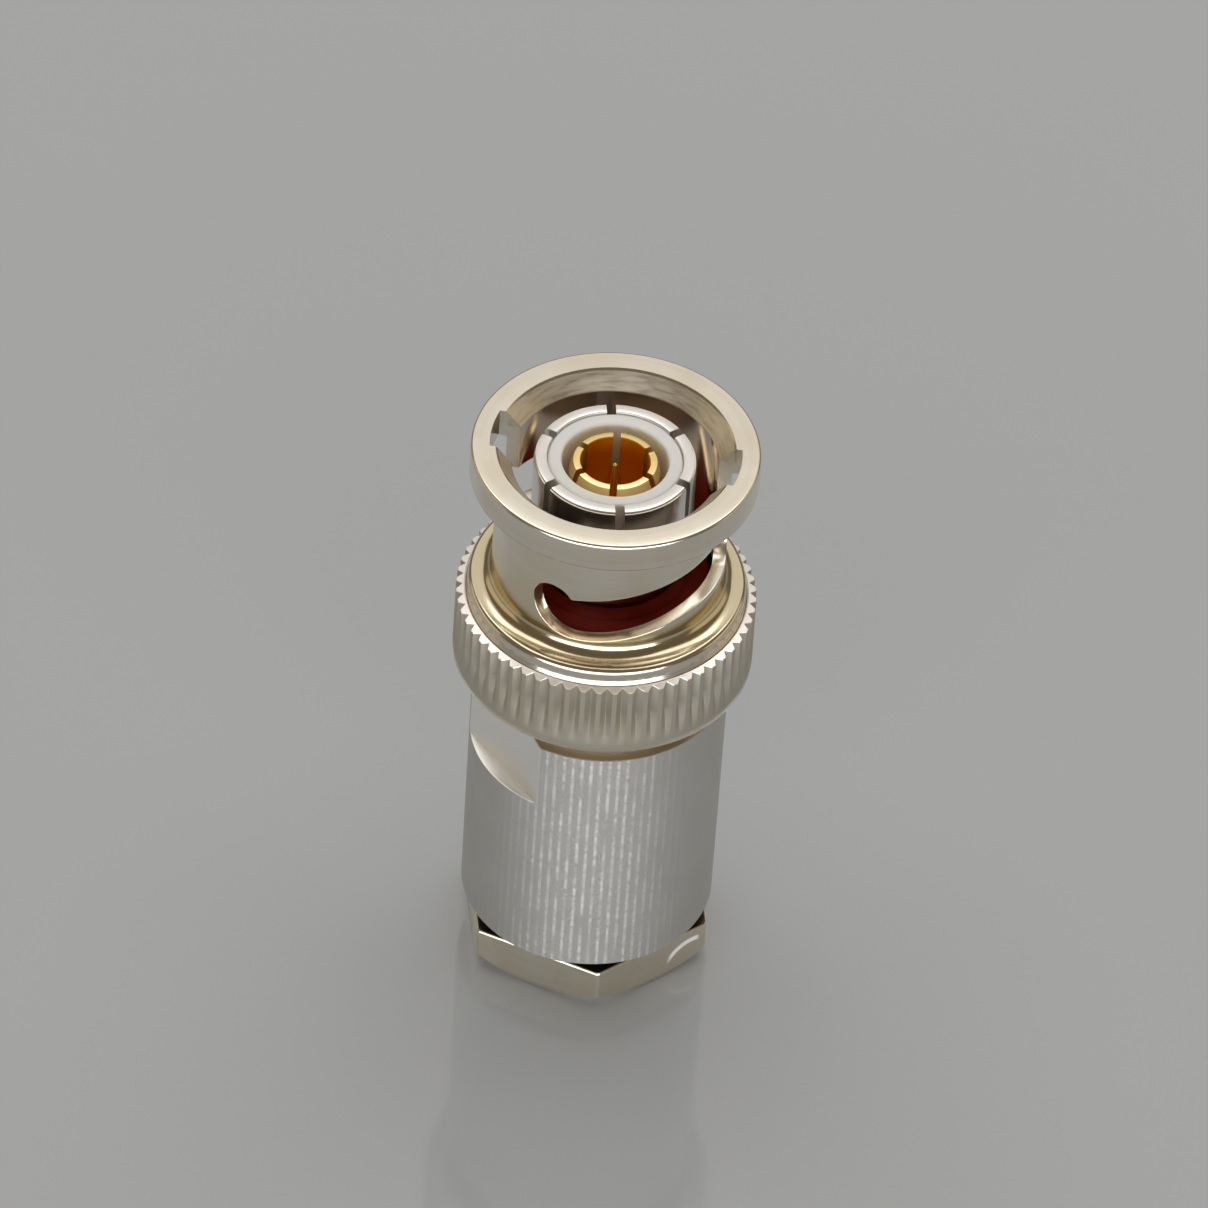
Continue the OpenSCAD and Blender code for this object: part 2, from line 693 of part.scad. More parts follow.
// The entry notch from the mouth, and the falling track with its pocket and detent
module bayonet_slot() {
    track_r0 = ring_bore_r - 1.5 * eps;
    notch_r0 = ring_bore_r - eps;
    track_r1 = (neck_r + slot_root_r) / 2;
    points = [for (x = slot_stations)
        let (a = slot_entry_az - x / neck_r * 180 / PI)
        each [for (p = [
            [track_r0, slot_floor(x)], [track_r1, slot_floor(x)],
            [track_r1, slot_roof(x)], [track_r0, slot_roof(x)]
        ]) [p[0] * cos(a), p[0] * sin(a), p[1]]]];
    steps = len(slot_stations) - 1;
    last = 4 * steps;
    ends = [[0, 1, 2], [0, 2, 3], [last + 2, last + 1, last], [last + 3, last + 2, last]];
    polyhedron(points, concat(band_faces([for (i = [0:steps - 1]) [i + 1, i]], 4), ends));
    rotate(slot_entry_az)
        translate([notch_r0, -entry_r, entry_z])
            cube([slot_root_r - notch_r0, slot_entry_w, ring_z1 - entry_z + eps]);
}

module coupling_ring() color(nickel) difference() {
    union() {
        ring_blank();
        knurl();
    }
    bore(cavity_r, ring_z0 - eps, cavity_z1);
    bore(retainer_r, retainer_z0, retainer_z1);
    bore(ring_bore_r, ring_z0, ring_z1 + eps);
    translate([0, 0, ring_z1 - mouth_h])
        cylinder(d1 = ring_bore_d, d2 = mouth_d, h = mouth_h);
    for (side = [0, 180])
        rotate(side)
            bayonet_slot();
}

clamp_nut();
slip_washer();
cable_gasket();
outer_braid_clamp();
rear_insulator();
inner_braid_clamp();
inner_ferrule();
pin_bead();
center_pin();
inner_insulator();
inner_contact();
outer_insulator();
outer_contact();
sealing_gasket();
body_shell();
front_washer();
coupling_spring();
thrust_washer();
retaining_ring();
coupling_ring();
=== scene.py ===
"""Looks of a triaxial bayonet cable plug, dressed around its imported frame.

Sizes are in millimetres in the plug's own frame: +Z is the axis towards the mouth, and z = 0 is the clamp
nut's rear face. Angles are in degrees, counted from +X towards +Y.
"""

import logging
import math
from dataclasses import dataclass, field
from enum import Enum
from typing import Any, Optional, Sequence, Union

import bmesh
import bpy
import numpy as np
from mathutils import Matrix, Vector


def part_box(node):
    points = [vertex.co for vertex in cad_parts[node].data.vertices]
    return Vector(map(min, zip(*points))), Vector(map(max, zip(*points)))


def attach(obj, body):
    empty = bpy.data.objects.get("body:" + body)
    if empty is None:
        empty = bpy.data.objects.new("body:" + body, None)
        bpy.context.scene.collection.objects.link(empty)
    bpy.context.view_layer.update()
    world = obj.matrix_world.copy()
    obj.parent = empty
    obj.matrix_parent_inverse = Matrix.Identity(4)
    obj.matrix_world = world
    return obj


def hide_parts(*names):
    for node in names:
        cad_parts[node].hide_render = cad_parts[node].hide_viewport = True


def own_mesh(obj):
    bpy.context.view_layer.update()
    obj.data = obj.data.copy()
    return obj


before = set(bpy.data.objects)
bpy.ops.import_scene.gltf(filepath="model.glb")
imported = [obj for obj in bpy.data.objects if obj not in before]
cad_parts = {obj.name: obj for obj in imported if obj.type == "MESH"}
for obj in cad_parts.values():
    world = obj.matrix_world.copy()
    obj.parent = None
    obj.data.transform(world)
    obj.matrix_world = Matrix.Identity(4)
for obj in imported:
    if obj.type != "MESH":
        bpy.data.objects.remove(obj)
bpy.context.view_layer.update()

Array = np.ndarray
Colour = tuple[float, float, float]
Material = bpy.types.Material
Piece = bpy.types.Object
Socket = bpy.types.NodeSocket

MM = 0.001  # metres in a millimetre
WELD = 1e-4  # points nearer than this become one
SHARP_ANGLE = 32.0  # edges sharper than this aren't smoothed
THREAD_STEEP = 2.6  # how steeply a thread's flanks fall, in depths over a turn
THREAD_CREST = 0.15  # how much of that fall is cut off by the flat crest
log = logging.getLogger("plug")


class Body(Enum):
    """The rigid bodies that new pieces ride on."""

    CLAMP = "clamp"
    SHELL = "shell"
    COUPLING = "coupling"


class Slot(Enum):
    """Material slot names, one for each kind of finish."""

    BRIGHT_NICKEL = "bright_nickel"
    SATIN_NICKEL = "satin_nickel"
    GOLD = "gold_plate"
    WHITE = "white_insulator"
    RED = "red_silicone"
    STEEL = "spring_steel"


# Surfaces


def place(radius: Array, angle: Array, height: Array) -> Array:
    """Turns cylinder coordinates into points: x = r cos a, y = r sin a, z = h.

    Args:
        radius: distances from the axis.
        angle: angles in degrees.
        height: heights; the three arrays broadcast to one shape.

    Returns:
        The points, with x, y, z along the last index.
    """
    radius, angle, height = np.broadcast_arrays(radius, np.radians(angle), height)
    return np.stack([radius * np.cos(angle), radius * np.sin(angle), height], axis=-1)


def arc(centre: tuple[float, float], radius: float, start: float, end: float, steps: int) -> Array:
    """Points of an arc in the (radius, height) plane.

    Args:
        centre: radius and height of the arc's centre.
        radius: the arc's own radius.
        start: first angle in degrees, from the direction away from the axis.
        end: last angle in degrees.
        steps: number of chords.

    Returns:
        The points from start to end, as rows of (radius, height).
    """
    a = np.radians(np.linspace(start, end, steps + 1))
    return np.stack([centre[0] + radius * np.cos(a), centre[1] + radius * np.sin(a)], axis=-1)


def path(*parts: Union[Array, Sequence[Sequence[float]]]) -> Array:
    """Joins points and stretches of points into one profile of (radius, height) rows."""
    return np.concatenate([np.atleast_2d(np.asarray(part, float)) for part in parts])


def lathe(profile: Array, angles: Array) -> Array:
    """Carries a profile round the axis: the point (r, h) goes to (r cos a, r sin a, h) at each angle."""
    return place(profile[None, :, 0], angles[:, None], profile[None, :, 1])


def half_chord(radius: float, x: Array) -> Array:
    """Half the height of a circle at distance x from its centre, and 0 outside it."""
    return np.sqrt(np.maximum(radius**2 - np.asarray(x) ** 2, 0.0))


def smooth(x: Array) -> Array:
    """Rises from 0 to 1 between x = 0 and x = 1, level at both ends: 3x² - 2x³."""
    x = np.clip(x, 0.0, 1.0)
    return x * x * (3.0 - 2.0 * x)


def thread_groove(angle: Array, height: Array, pitch: float) -> Array:
    """Depth share of a right-hand thread, 0 on its crest and 1 in its root.

    It is a triangle wave of height / pitch less angle / one turn, cut off flat at both ends.
    """
    turn = np.mod(height / pitch - angle / 360.0, 1.0)
    return np.clip(THREAD_STEEP * (0.5 - np.abs(turn - 0.5)) - THREAD_CREST, 0.0, 1.0)


@dataclass
class Shape:
    """A closed surface put together from grids and flat polygons, in millimetres."""

    points: list[Array] = field(default_factory=list)
    quads: list[Array] = field(default_factory=list)
    polygons: list[Array] = field(default_factory=list)
    count: int = 0

    @classmethod
    def turned(cls, profile: Array, columns: int) -> "Shape":
        """Carries a profile all round the axis.

        Args:
            profile: rows of (radius, height).
            columns: number of columns.

        Returns:
            The surface.
        """
        shape = cls()
        shape.grid(lathe(profile, np.arange(columns) * 360.0 / columns), wrap=True)
        return shape

    def _take(self, points: Array) -> int:
        """Adds points.

        Args:
            points: the points, in a grid or a row.

        Returns:
            The index of the first.
        """
        first = self.count
        self.points.append(points.reshape(-1, 3))
        self.count += self.points[-1].shape[0]
        return first

    def grid(self, points: Array, wrap: bool = False) -> None:
        """Adds a grid of quads.

        Args:
            points: columns by rows of points.
            wrap: joins the last column to the first.
        """
        columns, rows = points.shape[:2]
        index = self._take(points) + np.arange(columns * rows).reshape(columns, rows)
        if wrap:
            index = np.vstack([index, index[:1]])
        corners = [index[:-1, :-1], index[1:, :-1], index[1:, 1:], index[:-1, 1:]]
        self.quads.append(np.stack(corners, axis=-1).reshape(-1, 4))

    def polygon(self, points: Array) -> None:
        """Adds one flat polygon."""
        self.polygons.append(self._take(points) + np.arange(len(points)))

    def _loops(self, weld: Array) -> tuple[Array, Array]:
        """Faces after welding, without repeated corners.

        Args:
            weld: the welded index of each point.

        Returns:
            The corners of all faces in a row, and the number of corners of each face.
        """
        quads = weld[np.concatenate(self.quads)]
        kept = quads != np.roll(quads, -1, axis=1)
        totals = kept.sum(axis=1)
        good = totals > 2
        corners, counts = [quads[good][kept[good]]], [totals[good]]
        for polygon in self.polygons:
            ring = weld[polygon]
            ring = ring[ring != np.roll(ring, -1)]
            corners.append(ring)
            counts.append(np.array([len(ring)]))
        return np.concatenate(corners), np.concatenate(counts)

    def build(self, name: str, sharp: float = SHARP_ANGLE) -> Piece:
        """Makes the mesh object: welds the seams, turns the faces outwards and marks the sharp edges.

        Args:
            name: the object's name.
            sharp: angle in degrees above which an edge isn't smoothed.

        Returns:
            The new object, at the origin.
        """
        points = np.concatenate(self.points)
        _, first, weld = np.unique(np.round(points / WELD), axis=0, return_index=True, return_inverse=True)
        corners, totals = self._loops(weld.reshape(-1))
        mesh = bpy.data.meshes.new(name)
        mesh.vertices.add(len(first))
        mesh.vertices.foreach_set("co", (points[first] * MM).astype(np.float32).ravel())
        mesh.loops.add(len(corners))
        mesh.loops.foreach_set("vertex_index", corners.astype(np.int32))
        mesh.polygons.add(len(totals))
        mesh.polygons.foreach_set("loop_start", (np.cumsum(totals) - totals).astype(np.int32))
        mesh.update(calc_edges=True)
        mesh.validate()
        work = bmesh.new()
        work.from_mesh(mesh)
        bmesh.ops.recalc_face_normals(work, faces=work.faces)
        work.to_mesh(mesh)
        work.free()
        mesh.shade_smooth()
        mesh.set_sharp_from_angle(angle=math.radians(sharp))
        piece = bpy.data.objects.new(name, mesh)
        bpy.context.scene.collection.objects.link(piece)
        even = piece.modifiers.new("flat_faces", "WEIGHTED_NORMAL")
        even.mode = "FACE_AREA_WITH_ANGLE"
        even.keep_sharp = True
        return piece


# Shaders


class Term:
    """A shader value. Sums on it add Math nodes to its graph."""

    def __init__(self, graph: "Graph", socket: Socket) -> None:
        """Wraps a socket of a graph."""
        self.graph = graph
        self.socket = socket

    def _math(self, operation: str, *values: Any) -> "Term":
        """Adds one Math node with terms or numbers on its sockets, and gives its result."""
        return self.graph.term("ShaderNodeMath", {"operation": operation}, dict(enumerate(values)))

    def __add__(self, other: Any) -> "Term":
        """self + other."""
        return self._math("ADD", self, other)

    __radd__ = __add__

    def __sub__(self, other: Any) -> "Term":
        """self - other."""
        return self._math("SUBTRACT", self, other)

    def __rsub__(self, other: Any) -> "Term":
        """other - self."""
        return self._math("SUBTRACT", other, self)

    def __mul__(self, other: Any) -> "Term":
        """self times other."""
        return self._math("MULTIPLY", self, other)

    __rmul__ = __mul__

    def __pow__(self, other: Any) -> "Term":
        """self to the power other."""
        return self._math("POWER", self, other)

    def sqrt(self) -> "Term":
        """Square root."""
        return self._math("SQRT", self)

    def floor(self) -> "Term":
        """Whole number at or below it."""
        return self._math("FLOOR", self)

    def sin(self) -> "Term":
        """Sine of an angle in radians."""
        return self._math("SINE", self)

    def angle_from(self, x: "Term") -> "Term":
        """Angle of the direction (x, self), in radians."""
        return self._math("ARCTAN2", self, x)

    def step(self, low: float, high: float) -> "Term":
        """Rises smoothly from 0 at low to 1 at high, or falls where low is above high."""
        ends = {1: low, 2: high} if low < high else {1: high, 2: low, 3: 1.0, 4: 0.0}
        return self.graph.term("ShaderNodeMapRange", {"interpolation_type": "SMOOTHSTEP"}, {0: self, **ends})


class Graph:
    """A material's node tree, with one Principled surface."""

    def __init__(self, name: str) -> None:
        """Starts the material, with Object coordinates in millimetres, also as radius and angle in radians.

        Args:
            name: the material's name.
        """
        self.material = bpy.data.materials.new(name)
        self.material.use_nodes = True
        self.tree = self.material.node_tree
        self.tree.nodes.clear()
        self.surface = self.node("ShaderNodeBsdfPrincipled")
        self.node("ShaderNodeOutputMaterial", inputs={"Surface": self.surface.outputs[0]})
        own = self.node("ShaderNodeTexCoord").outputs["Object"]
        scaled = {"Vector": own, "Scale": (1 / MM, 1 / MM, 1 / MM)}
        self.place = self.node("ShaderNodeMapping", inputs=scaled).outputs[0]
        parts = self.node("ShaderNodeSeparateXYZ", inputs={0: self.place})
        self.x, self.y, self.z = (Term(self, parts.outputs[i]) for i in range(3))
        self.radius = (self.x * self.x + self.y * self.y).sqrt()
        self.angle = self.y.angle_from(self.x)

    def feed(self, socket: Socket, value: Any) -> None:
        """Links or sets an input.

        Args:
            socket: the input.
            value: a term or a socket, which is linked, or a plain value; a colour gets its alpha here.
        """
        if isinstance(value, Term):
            value = value.socket
        if isinstance(value, Socket):
            self.tree.links.new(value, socket)
        elif isinstance(value, tuple) and len(socket.default_value) == len(value) + 1:
            socket.default_value = value + (1.0,)
        else:
            socket.default_value = value

    def node(
        self, kind: str, settings: Optional[dict] = None, inputs: Optional[dict] = None
    ) -> bpy.types.Node:
        """Adds a node.

        Args:
            kind: the node's type.
            settings: properties that are set first.
            inputs: values, terms or sockets for its inputs, by name or number.

        Returns:
            The node.
        """
        made = self.tree.nodes.new(kind)
        for key, value in (settings or {}).items():
            setattr(made, key, value)
        for key, value in (inputs or {}).items():
            self.feed(made.inputs[key], value)
        return made

    def term(self, kind: str, settings: dict, inputs: dict) -> Term:
        """Adds a node and wraps its first output."""
        return Term(self, self.node(kind, settings, inputs).outputs[0])

    def vector(self, x: Any, y: Any, z: Any) -> Socket:
        """Puts three values together as a vector."""
        return self.node("ShaderNodeCombineXYZ", inputs={0: x, 1: y, 2: z}).outputs[0]

    def noise(self, vector: Socket, scale: float = 1.0, detail: float = 2.0) -> Term:
        """Noise between 0 and 1 at a vector, with scale spots in a unit and detail octaves of finer ones."""
        return self.term("ShaderNodeTexNoise", {}, {"Vector": vector, "Scale": scale, "Detail": detail})

    def turned(self, across: float, along: float) -> Term:
        """Noise as a turning tool leaves it: across rings in a millimetre and along spots in a radian."""
        return self.noise(self.vector(self.radius * across, self.z * across, self.angle * along), 1.0, 3.0)

    def mix(self, share: Any, low: Any, high: Any) -> Socket:
        """Colour between low and high by share; a colour is a triple or a socket."""
        return self.node("ShaderNodeMix", {"data_type": "RGBA"}, {0: share, 6: low, 7: high}).outputs[2]

    def lean(self, share: Term) -> Socket:
        """Normal that leans forward along the axis: its own direction plus share times +Z, made one long.

        Args:
            share: how much it leans.

        Returns:
            The normal.
        """
        own = self.node("ShaderNodeNewGeometry").outputs["Normal"]
        both = {0: own, 1: self.vector(0.0, 0.0, share)}
        total = self.node("ShaderNodeVectorMath", {"operation": "ADD"}, both).outputs[0]
        return self.node("ShaderNodeVectorMath", {"operation": "NORMALIZE"}, {0: total}).outputs[0]

    def bump(self, height: Term, depth: float, normal: Optional[Socket] = None) -> Socket:
        """Normal of a surface with small heights on it.

        Args:
            height: heights between 0 and 1.
            depth: height of 1, in millimetres.
            normal: the normal without them, where it isn't the surface's own.

        Returns:
            The normal.
        """
        inputs = {"Height": height, "Distance": depth * MM, "Strength": 1.0}
        if normal:
            inputs["Normal"] = normal
        return self.node("ShaderNodeBump", inputs=inputs).outputs[0]

    def set(self, **sockets: Any) -> None:
        """Sets or links sockets of the Principled surface; an underscore stands for a space."""
        for name, value in sockets.items():
            self.feed(self.surface.inputs[name.replace("_", " ")], value)


@dataclass(frozen=True)
class TurnedPlating:
    """Metal plating on a turned piece: two close tones, gloss that varies a little, rings from the tool."""

    name: str
    tone: Colour
    shade: Colour
    gloss: float
    wear: float = 0.08
    wear_spots: float = 0.55
    cloud_spots: float = 0.35
    cloud_share: float = 0.6
    rings: float = 9.0
    ring_depth: float = 0.0012

    def roughness(self, graph: Graph) -> Any:
        """Roughness over the surface: its own value and a cloudy wear."""
        return self.gloss + self.wear * graph.noise(graph.place, self.wear_spots, 3.0)

    def colour(self, graph: Graph) -> Socket:
        """Colour over the surface: the shade comes through in clouds and rings.

        Args:
            graph: the material's nodes.

        Returns:
            The colour.
        """
        rings = graph.turned(2.2, 0.4) * (1.0 - self.cloud_share)
        cloud = graph.noise(graph.place, self.cloud_spots, 3.0) * self.cloud_share + rings
        return graph.mix(cloud.step(0.35, 0.68), self.tone, self.shade)

    def relief(self, graph: Graph) -> Socket:
        """Normal with the tool's rings."""
        return graph.bump(graph.turned(self.rings, 0.8), self.ring_depth)

    def metal(self, graph: Graph) -> Any:
        """Share of mirror-like metal; the rest scatters light as a matte face does."""
        return 1.0

    def material(self) -> Material:
        """Builds the material.

        Returns:
            The material.
        """
        graph = Graph(self.name)
        graph.set(Metallic=self.metal(graph), Base_Color=self.colour(graph))
        graph.set(Roughness=self.roughness(graph), Normal=self.relief(graph))
        return graph.material


@dataclass(frozen=True)
class RingPlating(TurnedPlating):
    """Plating of the coupling ring: dull in the knurl, a painted warm reflection in the hollow, scuffed in
    the mouth.
    """

    knurl_low: float = 19.55
    knurl_high: float = 23.30
    knurl_radius: float = 7.16
    knurl_slope: float = 0.27
    knurl_dull: float = 0.36
    knurl_matte: float = 0.15
    # how much darker the knurl's flanks are made
    knurl_dark_share: float = 0.7
    tops_dull: float = 0.1
    tops_matte: float = 0.2
    lip_high: float = 24.0
    lip_r: float = 6.95
    hollow_low: float = 23.34
    hollow_high: float = 25.3
    hollow_gloss: float = 0.07
    # share of the painted warm reflection in the hollow
    hollow_reflection_share: float = 0.8
    neck_low: float = 24.9
    neck_high: float = 29.5
    neck_r: float = 5.84
    # share of the painted warm reflection up the lower neck
    neck_reflection_share: float = 0.55
    bore_r: float = 5.17
    bore_gloss: float = 0.12
    mouth_low: float = 31.85
    mouth_radius: float = 5.86
    mouth_spots: float = 5.0
    mouth_dull: float = 0.05
    scuff_dull: float = 0.3
    flange_low: float = 31.19
    flange_r: float = 7.1
    # painted shade line along the flange's lower edge: its share and its dark tone
    edge_shade_share: float = 0.8
    painted_shade_tone: Colour = (0.12, 0.10, 0.08)
    stain: Colour = (0.30, 0.25, 0.21)
    # darker tone of the knurl's flanks
    knurl_dark_tone: Colour = (0.34, 0.32, 0.27)
    # painted highlight: pale colour on the tooth ends for their reflection of the light behind
    tooth_highlight_tone: Colour = (0.97, 0.93, 0.89)
    bore_tone: Colour = (0.58, 0.46, 0.36)
    # painted reflection: warm tone of the hollow and lower neck
    hollow_reflection_tone: Colour = (0.72, 0.62, 0.40)

    def teeth(self, graph: Graph, low: float, high: float) -> Term:
        """Rises from 0 to 1 between two heights over the slanting front ends of the teeth, or falls.

        Args:
            graph: the material's nodes.
            low: height where it is 0.
            high: height where it is 1.

        Returns:
            The share, which is 0 off the knurl.
        """
        level = graph.z + (graph.radius - self.knurl_radius) * self.knurl_slope - self.knurl_high
        band = graph.z.step(self.knurl_low - 0.2, self.knurl_low)
        band = band * graph.z.step(self.lip_high, self.lip_high - 0.2)
        outside = graph.radius.step(self.knurl_radius - 0.04, self.knurl_radius - 0.01)
        return level.step(low, high) * band * outside

    def knurl(self, graph: Graph) -> Term:
        """1 on the knurl's flanks."""
        return self.teeth(graph, -0.01, -0.04)

    def tops(self, graph: Graph) -> Term:
        """1 on the front ends of the teeth."""
        return self.teeth(graph, -0.04, -0.01)

    def hollow(self, graph: Graph) -> Term:
        """1 on the lip and in the hollow above it."""
        below = graph.z.step(self.hollow_high + 0.3, self.hollow_high - 0.1)
        return graph.z.step(self.hollow_low - 0.02, self.hollow_low + 0.02) * below

    def mouth(self, graph: Graph) -> Term:
        """1 on the countersink."""
        inside = graph.radius.step(self.mouth_radius + 0.02, self.mouth_radius - 0.02)
        return graph.z.step(self.mouth_low, self.mouth_low + 0.05) * inside

    def warm_reflection(self, graph: Graph) -> Term:
        """Share of the painted warm reflection, in the hollow and fading up the neck.

        Args:
            graph: the material's nodes.

        Returns:
            The share.
        """
        hollow = self.hollow(graph) * graph.radius.step(self.lip_r, self.lip_r - 0.25) * self.hollow_reflection_share
        fade = graph.z.step(self.neck_high, self.neck_low + 0.3)
        fade = fade * graph.z.step(self.neck_low, self.neck_low + 0.5)
        return hollow + fade * graph.radius.step(self.neck_r - 0.03, self.neck_r) * self.neck_reflection_share

    def edge_shade_line(self, graph: Graph) -> Term:
        """Share of the broken painted shade line along the flange's lower edge, where the flange hides the
        neck.

        Args:
            graph: the material's nodes.

        Returns:
            The share.
        """
        # painted shade: a broken dark line where the flange's lower edge hides the neck
        low = self.flange_low
        line = graph.z.step(low - 0.1, low) * graph.z.step(low + 0.07, low + 0.05)
        line = line * graph.radius.step(self.flange_r - 0.1, self.flange_r)
        return line * graph.noise(graph.place, 1.5, 3.0).step(0.35, 0.5) * self.edge_shade_share

    def metal(self, graph: Graph) -> Any:
        """Share of mirror-like metal: less on the teeth."""
        return 1.0 - self.tops(graph) * self.tops_matte - self.knurl(graph) * self.knurl_matte

    def roughness(self, graph: Graph) -> Any:
        """Roughness: the plating's own, more in the knurl and the mouth, less in the hollow and the bore.

        Args:
            graph: the material's nodes.

        Returns:
            The roughness.
        """
        spots = self.mouth_spots
        where = graph.vector(graph.angle * spots, graph.z * spots, graph.radius * spots)
        scuff = graph.noise(where, 1.0, 4.0)
        knurl = self.knurl(graph) * self.knurl_dull
        mouth = self.mouth(graph) * (self.mouth_dull + self.scuff_dull * scuff)
        tops = self.tops(graph) * self.tops_dull
        hollow = self.hollow(graph) * self.hollow_gloss
        bore = graph.radius.step(self.bore_r + 0.05, self.bore_r + 0.02) * self.bore_gloss
        return super().roughness(graph) + knurl + mouth + tops - hollow - bore

    def colour(self, graph: Graph) -> Socket:
        """Colour: stains in the mouth, a painted warm reflection in the hollow, painted highlights on the
        tooth ends, darker knurl flanks and bore, and a painted shade line at the flange's lower edge.

        Args:
            graph: the material's nodes.

        Returns:
            The colour.
        """
        spots = self.mouth_spots
        tall = spots * 1.2
        patch = graph.noise(graph.vector(graph.angle * spots, graph.z * tall, graph.radius * tall), 1.0, 5.0)
        back = graph.y.step(-2.0, 5.0)
        stained = self.mouth(graph) * patch.step(0.47, 0.70) * (0.1 + 0.35 * back)
        # the knurl's flanks made darker
        clean = graph.mix(self.knurl(graph) * self.knurl_dark_share, super().colour(graph), self.knurl_dark_tone)
        # painted highlight on the tooth ends
        clean = graph.mix(self.tops(graph), clean, self.tooth_highlight_tone)
        # painted warm reflection in the hollow and up the neck
        clean = graph.mix(self.warm_reflection(graph), clean, self.hollow_reflection_tone)
        clean = graph.mix(graph.radius.step(self.bore_r + 0.03, self.bore_r + 0.01), clean, self.bore_tone)
        # stains, then the painted shade line along the flange's lower edge
        return graph.mix(self.edge_shade_line(graph), graph.mix(stained, clean, self.stain), self.painted_shade_tone)


@dataclass(frozen=True)
class ContactPlating(TurnedPlating):
    """Plating of the slotted contact: satin in front and polished towards the foot of the fingers."""

    foot_z: float = 26.6
    foot_h: float = 1.0
    foot_gloss: float = 0.17

    def roughness(self, graph: Graph) -> Any:
        """Roughness: less towards the foot."""
        foot = graph.z.step(self.foot_z + self.foot_h, self.foot_z)
        return super().roughness(graph) - foot * self.foot_gloss


@dataclass(frozen=True)
class SocketPlating(TurnedPlating):
    """Plating of a socket, painted deeper in colour inside its bore as a painted reflection of the gold in
    itself.
    """

    # painted reflection: deeper orange inside the bore for the gold's reflections of itself
    bore_reflection_tone: Colour = (1.0, 0.45, 0.02)
    bore_r: float = 1.76
    bore_dull: float = 0.25

    def bore(self, graph: Graph) -> Term:
        """1 inside the bore."""
        return graph.radius.step(self.bore_r + 0.02, self.bore_r)

    def colour(self, graph: Graph) -> Socket:
        """Colour: the painted deeper tone inside the bore, a painted reflection of the gold in itself."""
        return graph.mix(self.bore(graph), super().colour(graph), self.bore_reflection_tone)

    def roughness(self, graph: Graph) -> Any:
        """Roughness: more inside the bore."""
        return super().roughness(graph) + self.bore(graph) * self.bore_dull


@dataclass(frozen=True)
class StreakedPlating(TurnedPlating):
    """Satin plating on drawn bar: frost and lines of crystals along the axis that break up the gloss."""

    streaks: float = 89.0
    crystal_lean: float = 0.33
    frost_lean: float = 0.16
    grain: float = 14.0
    grain_depth: float = 0.002
    pale: Colour = (0.95, 0.94, 0.91)
    # painted reflection: dark warm tone on the front chamfer for the ring's underside
    nose_reflection_tone: Colour = (0.62, 0.51, 0.37)
    matte: float = 0.10
    ledge_matte: float = 0.2
    nose_z: float = 17.46
    nose_gloss: float = 0.28
    flat_az: float = 216.8
    flat_r: float = 5.75
    flat_z: float = 13.5
    flat_gloss: float = 0.26
    flat_inset: float = 0.04
    ledge_outset: float = 0.03

    def lines(self, graph: Graph) -> Term:
        """1 on the lines of crystals along the axis, each broken here and there in its own way.

        Args:
            graph: the material's nodes.

        Returns:
            The share.
        """
        turns = graph.angle * (self.streaks / math.tau)
        number = turns.floor()
        broken = graph.noise(graph.vector(number * 0.7, graph.z * 0.45, 0.0), 1.0, 2.0)
        crystal = graph.noise(graph.vector(number * 0.9, graph.z * 2.6, 2.0), 1.0, 4.0)
        line = ((turns - number) * math.pi).sin().step(0.72, 1.0)
        return line * broken.step(0.25, 0.60) * crystal.step(0.10, 0.80)

    def cut(self, graph: Graph, inset: float) -> Term:
        """1 where the body is cut for the wrench, from an inset to the flats outwards.

        Args:
            graph: the material's nodes.
            inset: how far inside the flats it starts.

        Returns:
            The share.
        """
        az = math.radians(self.flat_az)
        reach = (graph.x * math.cos(az) + graph.y * math.sin(az)) ** 2.0
        edge = self.flat_r - inset
        beyond = reach.step((edge - 0.01) ** 2, (edge + 0.01) ** 2)
        return beyond * graph.z.step(self.flat_z, self.flat_z + 0.03)

    def flats(self, graph: Graph) -> Term:
        """1 on the flats and the ledges below them."""
        return self.cut(graph, self.flat_inset)

    def nose(self, graph: Graph) -> Term:
        """1 on the chamfer at the front."""
        return graph.z.step(self.nose_z, self.nose_z + 0.05) * (1.0 - self.flats(graph))

    def relief(self, graph: Graph) -> Socket:
        """Normal with a fine grain; on the round sides, frost and lines of crystals lean forward.

        Args:
            graph: the material's nodes.

        Returns:
            The normal.
        """
        frost = graph.noise(graph.place, self.grain, 2.0).step(0.35, 0.65) * self.frost_lean
        plain = (1.0 - self.flats(graph)) * (1.0 - self.nose(graph))
        lean = plain * (self.lines(graph) * self.crystal_lean + frost)
        return graph.bump(graph.noise(graph.place, self.grain, 2.0), self.grain_depth, graph.lean(lean))

    def metal(self, graph: Graph) -> Any:
        """Share of mirror-like metal: least on the ledges below the flats."""
        ledges = self.cut(graph, -self.ledge_outset) * self.ledge_matte
        return 1.0 - self.matte - ledges + self.nose(graph) * self.matte

    def roughness(self, graph: Graph) -> Any:
        """Roughness: less on the flats and the chamfer."""
        return self.gloss - self.flats(graph) * self.flat_gloss - self.nose(graph) * self.nose_gloss

    def colour(self, graph: Graph) -> Socket:
        """Colour: clouds of the shade; the flats are paler, and the chamfer carries a painted reflection of
        the ring's dark underside.
        """
        cloud = graph.mix(graph.noise(graph.place, 0.3, 3.0).step(0.3, 0.7), self.tone, self.shade)
        # paler flats, then the painted reflection on the chamfer
        return graph.mix(self.nose(graph), graph.mix(self.flats(graph), cloud, self.pale), self.nose_reflection_tone)


